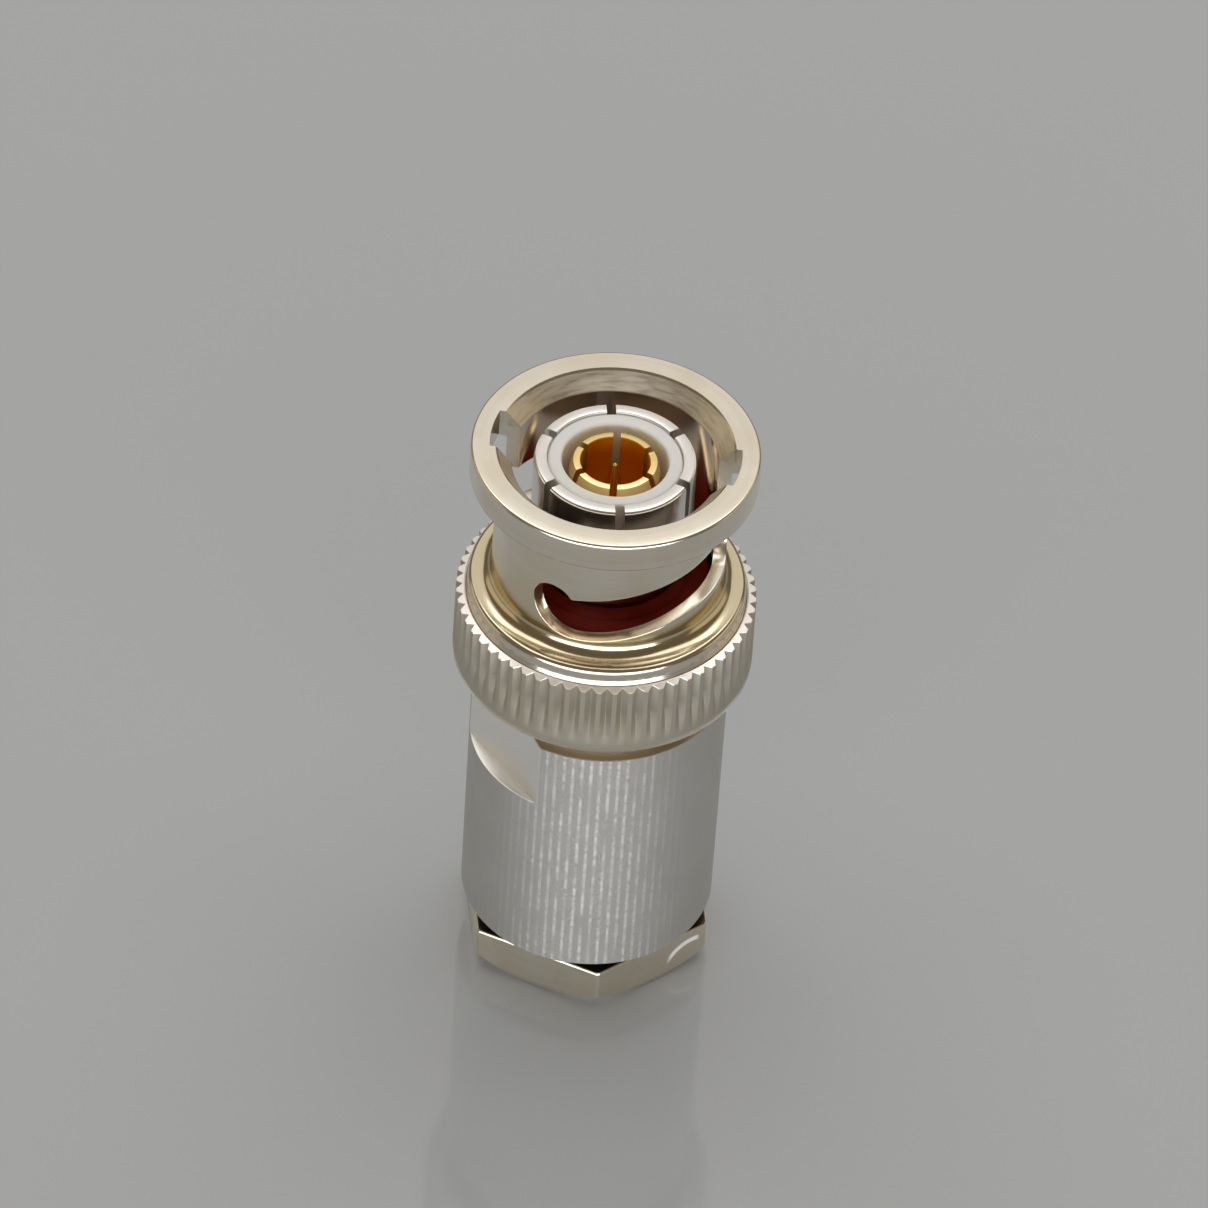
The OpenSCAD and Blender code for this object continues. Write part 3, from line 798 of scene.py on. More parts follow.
@dataclass(frozen=True)
class NutPlating(TurnedPlating):
    """Plating of the clamp nut: satin sides with a painted highlight arc on one flat, and a polished top with
    painted shade.
    """

    top_z: float = 2.5
    top_gloss: float = 0.18
    shank_r: float = 5.0
    foot_h: float = 0.45
    # share of the painted shade towards the floor
    foot_shade_share: float = 0.25
    # painted shade tone for the top face and the foot
    painted_shade_tone: Colour = (0.12, 0.10, 0.075)
    # painted highlight: the white arc on one flat, and how matte it is
    painted_arc_highlight: Colour = (1.0, 1.0, 1.0)
    arc_highlight_matte: float = 0.8
    mark_az: float = 308.0
    mark_at: tuple[float, float] = (2.58, -0.03)
    mark_r: float = 1.85
    mark_w: float = 0.20
    mark_start: tuple[float, float] = (0.95, 1.3)
    mark_end: tuple[float, float] = (3.05, 2.85)
    flat_r: float = 5.95

    def mark(self, graph: Graph) -> Term:
        """1 on the painted highlight arc on one flat, where the top chamfer meets it: near a circle in the
        flat's own plane.

        Args:
            graph: the material's nodes.

        Returns:
            The share.
        """
        c, d = math.cos(math.radians(self.mark_az)), math.sin(math.radians(self.mark_az))
        along = graph.y * c - graph.x * d
        middle, height = self.mark_at
        off = ((along - middle) ** 2.0 + (graph.z - height) ** 2.0).sqrt() - self.mark_r
        near = (off * off).step(self.mark_w**2, (self.mark_w / 3) ** 2) * along.step(*self.mark_start)
        reach = graph.x * c + graph.y * d
        return near * along.step(*self.mark_end) * reach.step(self.flat_r - 0.06, self.flat_r - 0.03)

    def colour(self, graph: Graph) -> Socket:
        """Colour: painted shade on the top face in the gap below the body, and painted shade darkening
        towards the floor; the arc on one flat is a painted white highlight.

        Args:
            graph: the material's nodes.

        Returns:
            The colour.
        """
        # painted shade on the top face in the gap below the body
        top = graph.z.step(self.top_z - 0.012, self.top_z - 0.004)
        top = top * graph.radius.step(self.shank_r, self.shank_r + 0.1)
        # plus painted shade darkening towards the floor
        share = top + graph.z.step(self.foot_h, 0.0) * self.foot_shade_share
        # painted shade first, then the painted highlight arc
        return graph.mix(self.mark(graph), graph.mix(share, super().colour(graph), self.painted_shade_tone), self.painted_arc_highlight)

    def metal(self, graph: Graph) -> Any:
        """Share of mirror-like metal: less on the painted highlight arc."""
        return 1.0 - self.arc_highlight_matte * self.mark(graph)

    def roughness(self, graph: Graph) -> Any:
        """Roughness: less on top."""
        return super().roughness(graph) - graph.z.step(self.top_z - 0.06, self.top_z - 0.02) * self.top_gloss


@dataclass(frozen=True)
class Moulded:
    """Rubber or plastic: one colour that clouds a little, and a fine grain."""

    name: str
    tone: Colour
    shade: Colour
    gloss: float
    wear: float = 0.1
    grain: float = 6.0
    grain_depth: float = 0.002
    shine: float = 0.5
    depth_mm: float = 0.0
    depth_tone: Colour = (1.0, 0.85, 0.6)

    def material(self) -> Material:
        """Builds the material; light sinks in where depth_mm says so.

        Returns:
            The material.
        """
        graph = Graph(self.name)
        cloud = graph.noise(graph.place, 0.8, 3.0)
        graph.set(Base_Color=graph.mix(cloud.step(0.3, 0.7), self.tone, self.shade))
        graph.set(Roughness=self.gloss + self.wear * graph.noise(graph.place, 2.0, 2.0))
        graph.set(Normal=graph.bump(graph.noise(graph.place, self.grain, 3.0), self.grain_depth))
        graph.set(Specular_IOR_Level=self.shine)
        if self.depth_mm:
            graph.set(Subsurface_Weight=1.0, Subsurface_Scale=self.depth_mm * MM)
            graph.set(Subsurface_Radius=self.depth_tone)
        return graph.material


RING_NICKEL = RingPlating("ring_nickel", (0.86, 0.81, 0.715), (0.80, 0.73, 0.59), 0.19, ring_depth=0.0007)
CONTACT_NICKEL = ContactPlating("contact_nickel", (0.86, 0.84, 0.81), (0.80, 0.78, 0.74), 0.22)
BODY_NICKEL = StreakedPlating("body_nickel", (0.57, 0.57, 0.56), (0.54, 0.54, 0.525), 0.56)
NUT_NICKEL = NutPlating("nut_nickel", (0.84, 0.79, 0.69), (0.78, 0.71, 0.58), 0.32, ring_depth=0.002)
CLAMP_NICKEL = TurnedPlating("clamp_nickel", (0.72, 0.69, 0.63), (0.64, 0.60, 0.54), 0.28)
GOLD = SocketPlating("gold", (1.0, 0.80, 0.40), (0.98, 0.74, 0.32), 0.22)
PIN_GOLD = TurnedPlating("pin_gold", (1.0, 0.70, 0.26), (0.96, 0.62, 0.19), 0.14, wear=0.04)
STEEL = TurnedPlating("spring_steel", (0.56, 0.55, 0.53), (0.46, 0.45, 0.43), 0.30)
WHITE = Moulded("white_insulator", (0.97, 0.965, 0.96), (0.94, 0.935, 0.93), 0.36, depth_mm=0.4)
RED = Moulded("red_silicone", (0.17, 0.009, 0.003), (0.13, 0.007, 0.003), 0.5, shine=0.10)
BLACK = Moulded("black_rubber", (0.03, 0.03, 0.03), (0.045, 0.045, 0.045), 0.55)
Finish = Union[TurnedPlating, Moulded]


class Wardrobe:
    """Materials that are already made, by finish."""

    made: dict[str, Material] = {}

    @classmethod
    def take(cls, finish: Finish) -> Material:
        """Gives a finish's material and makes it the first time.

        Args:
            finish: the finish.

        Returns:
            The material.
        """
        if finish.name not in cls.made:
            cls.made[finish.name] = finish.material()
        return cls.made[finish.name]


def dress(piece: Piece, finish: Finish) -> None:
    """Gives a piece one finish all over."""
    piece.data.materials.clear()
    piece.data.materials.append(Wardrobe.take(finish))


def seat(piece: Piece, body: Body, node: str, finish: Finish) -> Piece:
    """Puts a new piece on its body in place of a CAD node and dresses it.

    Args:
        piece: the new piece.
        body: the body that it rides on.
        node: the CAD node that it stands for.
        finish: its finish.

    Returns:
        The piece.
    """
    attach(piece, body.value)
    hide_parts(node)
    dress(piece, finish)
    log.info("%s: %d faces on %s", piece.name, len(piece.data.polygons), body.value)
    return piece


def heights(node: str) -> tuple[float, float]:
    """Lowest and highest point of a CAD node, in millimetres."""
    low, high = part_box(node)
    return low.z / MM, high.z / MM


# Sub-assemblies


@dataclass
class CouplingRing:
    """The bayonet ring: flange with lug notches, neck with cam slots, hollow, lip and knurl."""

    rear_z: float
    front_z: float
    bore_r: float = 5.17
    cavity_r: float = 6.45
    cavity_h: float = 4.28
    cavity_edge: float = 0.06
    groove_r: float = 6.75
    groove_low: float = 0.50
    groove_high: float = 1.00
    knurl_r: float = 7.58
    knurl_sink: float = 0.02
    knurl_depth: float = 0.30
    knurl_h: float = 4.18
    knurl_teeth: int = 60
    knurl_straight: float = 1.6
    band_h: float = 0.60
    band_gap: float = 0.05
    runout_h: float = 1.90
    runout_rows: int = 7
    tooth_fall: float = 0.10
    tooth_edge: float = 0.03
    tip_share: float = 0.30
    root_share: float = 0.96
    lip_r: float = 7.0
    lip_h: float = 0.9
    lip_round: float = 0.34
    lip_foot_w: float = 0.10
    lip_foot_h: float = 0.20
    foot_groove: float = 0.06
    foot_slant: float = 0.01
    hollow_r: float = 0.9
    hollow_h: float = 0.72
    neck_r: float = 5.85
    neck_edge: float = 0.08
    flange_r: float = 7.2
    flange_h: float = 1.61
    flange_edge_w: float = 0.17
    flange_edge_h: float = 0.20
    flange_low_edge: float = 0.04
    edge: float = 0.12
    fine_edge: float = 0.04
    mouth_r: float = 5.9
    mouth_h: float = 0.9
    mouth_edge_out: float = 0.07
    mouth_edge_in: float = 0.05
    mouth_edge_h: float = 0.10
    entry_az: float = 352.0
    entry_w: float = 2.65
    root_r: float = 6.26
    slot_turn: float = 108.7
    detent_r: float = 1.1
    detent_depth: float = 5.8
    floor_drop: float = 1.98
    floor_rise: float = 1.03
    pocket_back: float = 1.2
    roof_lift: float = 0.55
    roof_rise: float = 1.9
    fall_start: float = 0.2
    fall_end: float = 0.9
    slot_edge: float = 0.07
    slot_edge_mid: float = 0.3
    slot_edge_inside: float = 0.4
    half_start: float = -125.0
    bend_reach: float = 6.0
    wall_rows: int = 5
    track_columns: int = 60
    hook_columns: int = 36
    round_columns: int = 15
    entry_columns: int = 8
    column_gap: float = 0.03

    def __post_init__(self) -> None:
        """Works out the heights and the slot's stations from the driving sizes."""
        self.knurl_z1 = self.rear_z + self.knurl_h
        self.lip_z1 = self.knurl_z1 + self.lip_h
        self.flange_z0 = self.front_z - self.flange_h
        self.cavity_z1 = self.rear_z + self.cavity_h
        self.detent_z = self.front_z - self.detent_depth
        self.floor_z = self.detent_z - self.floor_drop
        self.detent_x = self.neck_r * math.radians(self.slot_turn)
        self.pocket_x = self.detent_x - self.pocket_back
        self.end_x = self.detent_x + self.detent_r
        self.entry_half = self.entry_w / 2
        self.entry_z = self.floor_z + self.floor_rise + self.entry_half
        self.entry_edge = round(math.degrees(math.asin(self.entry_half / self.neck_r)), 9)
        self.slot_end = round(-math.degrees(self.end_x / self.neck_r), 9)
        self.tooth_pitch = 360.0 / self.knurl_teeth

    def floor_at(self, x: Array) -> Array:
        """Height of the slot's floor.

        Round at the entry, level and then falling smoothly along the track, a quarter ellipse up to the end.

        Args:
            x: arc from the entry.

        Returns:
            The heights.
        """
        fall = smooth((x / self.detent_x - self.fall_start) / (self.fall_end - self.fall_start))
        track = self.floor_z + self.floor_rise * (1.0 - fall)
        share = np.clip((x - self.pocket_x) / (self.end_x - self.pocket_x), 0.0, 1.0)
        pocket = self.detent_z - self.floor_drop * np.sqrt(1.0 - share**2)
        entry = self.entry_z - half_chord(self.entry_half, x)
        return np.select([x < 0.0, x < self.pocket_x], [entry, track], pocket)

    def roof_at(self, x: Array) -> Array:
        """Height of the slot's roof: it falls along the track, then goes up round the detent.

        Args:
            x: arc from the entry.

        Returns:
            The heights.
        """
        fall = np.clip(x / self.detent_x / self.fall_end, 0.0, 1.0)
        track = self.detent_z + self.roof_lift + self.roof_rise * (1.0 - fall)
        detent = self.detent_z + half_chord(self.detent_r, x - self.detent_x)
        return np.where(x < self.detent_x, np.maximum(track, detent), detent)

    def low_z(self, phi: Array) -> Array:
        """Height at which the lower part of the ring ends: the slot's floor, and a straight seam beside it.

        Args:
            phi: angles from the entry.

        Returns:
            The heights.
        """
        x = -np.radians(phi) * self.neck_r
        beside = (phi - self.entry_edge) / (self.half_start + 180.0 - self.entry_edge)
        solid = np.where(phi > 0, self.entry_z + (self.detent_z - self.entry_z) * beside, self.detent_z)
        cut = (phi >= self.slot_end) & (phi <= self.entry_edge)
        return np.where(cut, self.floor_at(x), solid)

    def high_z(self, phi: Array) -> Array:
        """Height at which the upper part of the ring starts: the slot's roof, and the same seam beside it.

        Args:
            phi: angles from the entry.

        Returns:
            The heights.
        """
        x = -np.radians(phi) * self.neck_r
        cut = (phi >= self.slot_end) & (phi <= 0)
        return np.where(cut, self.roof_at(x), self.low_z(phi))

    def bend(self, phi: Array, radius: Array) -> Array:
        """Turn that keeps the notch's walls parallel: at its edges the angle is asin(half width / radius).

        Args:
            phi: angles from the entry.
            radius: radii that it is wanted at.

        Returns:
            Angles to add to phi, which fade out beyond the notch.
        """
        beyond = np.maximum(np.abs(phi) - self.entry_edge, 0.0)
        inside = np.minimum(np.abs(phi) / self.entry_edge, 1.0)
        share = np.sign(phi) * inside * np.exp(-((beyond / self.bend_reach) ** 2))
        return share * (np.degrees(np.arcsin(self.entry_half / radius)) - self.entry_edge)

    def tooth(self, phi: Array) -> Array:
        """Depth share of the knurl's V grooves: 0 on the flat tip of a tooth, 1 in the groove."""
        across = np.abs(np.mod((phi + self.entry_az) / self.tooth_pitch + 0.5, 1.0) - 0.5) * 2.0
        return np.clip((across - self.tip_share) / (self.root_share - self.tip_share), 0.0, 1.0)

    def columns(self) -> Array:
        """Angles of the columns of half a ring: knurl, track, detent and entry.

        Returns:
            The angles from the entry, rising.
        """
        tip, root = self.tip_share / 2, self.root_share / 2
        flank = np.array([0.0, tip - 0.02, tip, tip + 0.06, 0.32, 0.44, root])
        tooth = np.concatenate([flank, 1.0 - flank[:0:-1]]) * self.tooth_pitch
        numbers = np.arange(-self.knurl_teeth, self.knurl_teeth)
        starts = -self.entry_az % self.tooth_pitch + self.tooth_pitch * numbers
        knurl = (starts[:, None] + tooth[None, :]).ravel()
        knurl = knurl[(knurl > self.half_start) & (knurl < self.half_start + 180.0)]
        edge_x = math.radians(self.entry_edge) * self.neck_r
        round_share = np.sin(np.radians(np.linspace(0.0, 90.0, self.round_columns)))
        track = np.linspace(edge_x, self.pocket_x, self.track_columns)
        hook = np.linspace(self.detent_x - self.detent_r, self.end_x, self.hook_columns)[:-1]
        end = self.pocket_x + (self.end_x - self.pocket_x) * round_share
        entry = np.concatenate([np.linspace(0.0, edge_x, self.entry_columns), -edge_x * round_share])
        slot = -np.degrees(np.concatenate([track, hook, end, entry]) / self.neck_r)
        ends = [self.half_start, self.half_start + 180.0, self.slot_end, self.entry_edge, -self.entry_edge]
        exact = np.unique(np.round(np.concatenate([slot, ends]), 9))
        near = np.abs(knurl[:, None] - exact[None, :]).min(axis=1)
        return np.unique(np.concatenate([exact, knurl[near > self.column_gap]]))

    def inner_rows(self) -> Array:
        """Profile from the bore down through the cavity with its snap groove to the rear face.

        Returns:
            Rows of radius and height.
        """
        e, low, high = self.fine_edge, self.rear_z + self.groove_low, self.rear_z + self.groove_high
        return path(
            [self.bore_r, self.cavity_z1 + e], [self.bore_r + e, self.cavity_z1],
            [self.cavity_r - e, self.cavity_z1], [self.cavity_r, self.cavity_z1 - e],
            [self.cavity_r, high], [self.groove_r, high], [self.groove_r, low], [self.cavity_r, low],
            [self.cavity_r, self.rear_z + self.cavity_edge], [self.cavity_r + self.cavity_edge, self.rear_z],
        )

    def lip_rows(self) -> Array:
        """Profile of the groove and cone at the lip's foot, the rounded lip and the hollow, an ellipse's arc.

        Returns:
            Rows of radius and height.
        """
        top, g, s = self.knurl_z1, self.foot_groove, self.foot_slant
        foot_r = self.lip_r + self.lip_foot_w
        lip = path(
            [foot_r + g, top], [foot_r + g - s, top - g], [foot_r + s, top - g], [foot_r, top],
            [self.lip_r + s, top + self.lip_foot_h], [self.lip_r, top + self.lip_foot_h + self.fine_edge],
            arc((self.lip_r - self.lip_round, self.lip_z1 - self.lip_round), self.lip_round, 0, 90, 6),
        )
        middle = np.array([self.neck_r + self.hollow_r, self.lip_z1 + self.hollow_h])
        reach = np.array([self.hollow_r, self.hollow_h])
        return path(lip, middle + arc((0.0, 0.0), 1.0, 270, 180, 16) * reach)

    def static_rows(self) -> Array:
        """Rows that are the same all round, from the bore down, round the rear and up to the hollow.

        Returns:
            Rows of radius, height, share of the knurl's depth and rise in height for each step inwards.
        """
        inner, lip = self.inner_rows(), self.lip_rows()
        rear = path(
            [self.knurl_r - self.edge, self.rear_z],
            [self.knurl_r - self.edge / 4, self.rear_z + self.edge / 3],
            [self.knurl_r, self.rear_z + self.edge],
            [self.knurl_r, self.rear_z + self.band_h - self.band_gap],
        )
        tip_r, fall_z = self.knurl_r - self.knurl_sink, self.knurl_z1 - self.tooth_fall
        run = np.linspace(0.0, 1.0, self.runout_rows)
        runout_z = self.rear_z + self.band_h + self.runout_h * run
        runout = np.stack([self.knurl_r - self.knurl_sink * run, runout_z], axis=-1)
        straight = path(
            [tip_r, self.knurl_z1 - self.knurl_straight], [tip_r, fall_z - self.fine_edge],
            [tip_r - self.tooth_edge, fall_z],
        )
        flat = path(inner, rear, runout, straight, lip)
        share, rise = np.zeros(len(flat)), np.zeros(len(flat))
        at = len(inner) + len(rear)
        share[at:at + len(runout)] = run
        at += len(runout)
        share[at:at + len(straight)] = 1.0
        rise[at + 1:at + len(straight)] = self.tooth_fall / (tip_r - self.tooth_edge - lip[0, 0])
        return np.column_stack([flat, share, rise])

    def lower(self, phi: Array, turn: float) -> Array:
        """Lower part of the ring: down the bore from the slot, round the rear and up to the slot outside.

        Args:
            phi: angles from the entry, one for each column.
            turn: 0 or 180, for the two halves.

        Returns:
            Columns by rows of points.
        """
        rows = self.static_rows()
        phi = phi[:, None]
        top = self.low_z(phi) - self.slot_edge
        share = np.linspace(1.0, 0.0, self.wall_rows)[None, :]
        inner_z = rows[0, 1] + (top - rows[0, 1]) * share
        inner_a = phi + share * self.bend(phi, np.full_like(inner_z, self.bore_r))
        sunk = self.knurl_depth * self.tooth(phi)
        static_r = rows[None, :, 0] - sunk * rows[None, :, 2]
        static_z = rows[None, :, 1] + sunk * rows[None, :, 3]
        outer_z = rows[-1, 1] + (top - rows[-1, 1]) * share[:, ::-1]
        base = self.entry_az + turn
        return np.concatenate([
            place(self.bore_r, base + inner_a, inner_z)[:, :-1],
            place(static_r, base + phi, static_z),
            place(self.neck_r, base + phi, outer_z)[:, 1:],
        ], axis=1)

    def edge_rows(self, phi: Array, height: Array, side: float, turn: float) -> Array:
        """Floor (side -1) or roof (side 1) of the slot, from outside to inside, with broken edges.

        Args:
            phi: angles from the entry.
            height: the floor's or the roof's height at each.
            side: which way the wall's metal lies.
            turn: 0 or 180, for the two halves.

        Returns:
            Columns by rows of points.
        """
        cut = np.array([0.0, self.slot_edge_mid, 1.0]) * self.slot_edge
        radius = np.concatenate([self.neck_r - cut, self.bore_r + self.slot_edge_inside * cut[::-1]])[None, :]
        lift = np.concatenate([[self.slot_edge, cut[1], 0.0], cut[:2], [self.slot_edge]])[None, :]
        phi = phi[:, None]
        angle = self.entry_az + turn + phi + self.bend(phi, radius)
        return place(radius, angle, height[:, None] + side * lift)

    def flange_rows(self) -> tuple[Array, int, int]:
        """Rows from the neck's top round the flange to the foot of the countersink.

        Returns:
            Rows of radius and height, and the numbers of the rows at the notch's root below and on top.
        """
        top, low = self.front_z, self.flange_z0
        below = path([self.neck_r, low - self.neck_edge], [self.neck_r + self.neck_edge, low])
        turn = arc((0.0, 0.0), 1.0, 0, 90, 6) - 1.0
        rounded = np.array([self.flange_r, top]) + turn * np.array([self.flange_edge_w, self.flange_edge_h])
        side = path(
            [self.flange_r - self.flange_low_edge, low], [self.flange_r, low + self.flange_low_edge], rounded,
        )
        inside = path(
            [self.root_r, top], [self.mouth_r + self.mouth_edge_out, top],
            [self.mouth_r - self.mouth_edge_in, top - self.mouth_edge_h],
            [(self.mouth_r + self.bore_r) / 2, top - self.mouth_h / 2], [self.bore_r, top - self.mouth_h],
        )
        return path(below, [self.root_r, low], side, inside), len(below), len(below) + 1 + len(side)

    def upper(self, phi: Array, turn: float) -> Array:
        """Upper part of the ring: up the neck, round the flange and down the bore to the slot.

        Args:
            phi: angles from the entry, one for each column.
            turn: 0 or 180, for the two halves.

        Returns:
            Columns by rows of points.
        """
        rows = self.flange_rows()[0]
        phi = phi[:, None]
        low = self.high_z(phi) + self.slot_edge
        share = np.linspace(0.0, 1.0, self.wall_rows)[None, :]
        neck_z = low + (rows[0, 1] - low) * share
        bore_z = rows[-1, 1] + (low - rows[-1, 1]) * share
        radius = np.broadcast_to(rows[None, :, 0], (len(phi), len(rows)))
        base = self.entry_az + turn
        bore_a = phi + self.bend(phi, np.full_like(bore_z, self.bore_r))
        return np.concatenate([
            place(self.neck_r, base + phi, neck_z)[:, :-1],
            place(radius, base + phi + self.bend(phi, radius), rows[None, :, 1]),
            place(self.bore_r, base + bore_a, bore_z)[:, 1:],
        ], axis=1)

    def add_walls(self, shape: Shape, before: Array, after: Array, turn: float) -> None:
        """Adds the upper part's walls where there is no slot, and joins them to the lower part.

        Args:
            shape: the surface that takes them.
            before: angles from the entry of the columns before the slot.
            after: angles of the columns after it.
            turn: 0 or 180, for the two halves.
        """
        for stretch in (before, after):
            low, high = self.lower(stretch, turn), self.upper(stretch, turn)
            shape.grid(np.stack([low[:, -1], high[:, 0]], axis=1))
            shape.grid(np.stack([high[:, -1], low[:, 0]], axis=1))

    def add_ends(self, shape: Shape, below: int, above: int, turn: float) -> None:
        """Adds the flat walls of the notch and the slot's end.

        Args:
            shape: the surface that takes them.
            below: number of the upper part's row at the notch's root below the flange.
            above: number of its row at the notch's root on top.
            turn: 0 or 180, for the two halves.
        """
        for edge, side in ((np.array([self.entry_edge]), -1.0), (np.array([-self.entry_edge]), 1.0)):
            wall = self.upper(edge, turn)[0]
            height = self.low_z(edge) if side < 0 else self.high_z(edge)
            rest = self.edge_rows(edge, height, side, turn)[0, ::-1]
            shape.polygon(np.concatenate([wall[:below + 1], wall[above:], rest]))
        end = np.array([self.slot_end])
        floor = self.edge_rows(end, self.low_z(end), -1.0, turn)[0]
        roof = self.edge_rows(end, self.high_z(end), 1.0, turn)[0]
        shape.polygon(np.concatenate([floor[:3], roof[1::-1]]))
        shape.polygon(np.concatenate([roof[:3:-1], floor[3:]]))

    def add_half(self, shape: Shape, turn: float) -> None:
        """Adds half a ring with one notch, slot and detent.

        Args:
            shape: the surface that takes it.
            turn: 0 or 180.
        """
        phi = self.columns()
        slot = phi[(phi >= self.slot_end) & (phi <= self.entry_edge)]
        track = slot[slot <= -self.entry_edge]
        entry = slot[slot >= -self.entry_edge]
        before, after = phi[phi <= self.slot_end], phi[phi >= self.entry_edge]
        below, above = (row + self.wall_rows - 1 for row in self.flange_rows()[1:])
        shape.grid(self.lower(phi, turn))
        shape.grid(self.edge_rows(slot, self.floor_at(-np.radians(slot) * self.neck_r), -1.0, turn))
        shape.grid(self.edge_rows(track, self.high_z(track), 1.0, turn)[:, ::-1])
        for stretch in (np.unique(np.concatenate([before, track])), after):
            shape.grid(self.upper(stretch, turn))
        self.add_walls(shape, before, after, turn)
        rim = self.upper(entry, turn)[:, below:above + 1]
        shape.grid(np.concatenate([rim, rim[:, :1]], axis=1))
        self.add_ends(shape, below, above, turn)

    def build(self) -> None:
        """Makes the ring and puts it on its body."""
        shape = Shape()
        for turn in (0.0, 180.0):
            self.add_half(shape, turn)
        seat(shape.build("bayonet_ring"), Body.COUPLING, "coupling_ring", RING_NICKEL)


@dataclass
class SlottedSleeve:
    """A turned sleeve whose front is slotted into spring fingers."""

    base: Array
    fingers: Array
    slots: int
    slot_w: float
    slot_az: float
    finger_columns: int = 22
    gap_columns: int = 4

    def angles(self, share: Array, radius: Array, finger: bool) -> Array:
        """Angles across a finger or a slot, so that a slot's walls are parallel.

        At a radius the slot's wall stands at asin(half width / radius) from the slot's middle.

        Args:
            share: 0 to 1 across the finger or slot, one for each column.
            radius: radii, one for each row.
            finger: whether it is a finger.

        Returns:
            Columns by rows of angles from the slot's middle.
        """
        wall = np.degrees(np.arcsin(self.slot_w / 2 / radius))[None, :]
        if finger:
            return wall + (360.0 / self.slots - 2.0 * wall) * share[:, None]
        return wall * (2.0 * share[:, None] - 1.0)

    def build(self, name: str) -> Piece:
        """Makes the sleeve.

        Args:
            name: the object's name.

        Returns:
            The new object.
        """
        shape = Shape()
        across = np.linspace(0.0, 1.0, self.finger_columns)
        gap = np.linspace(0.0, 1.0, self.gap_columns)
        ledge = np.stack([self.base[-1], self.base[0]])
        stretches = ((self.base, gap, False), (self.base, across, True), (ledge, gap, False))
        for i in range(self.slots):
            az = self.slot_az + i * 360.0 / self.slots
            for rows, share, finger in stretches:
                angle = az + self.angles(share, rows[:, 0], finger)
                shape.grid(place(rows[None, :, 0], angle, rows[None, :, 1]))
            angle = az + self.angles(across, self.fingers[:, 0], True)
            tongue = place(self.fingers[None, :, 0], angle, self.fingers[None, :, 1])
            shape.grid(tongue)
            shape.polygon(tongue[0])
            shape.polygon(tongue[-1])
        return shape.build(name)


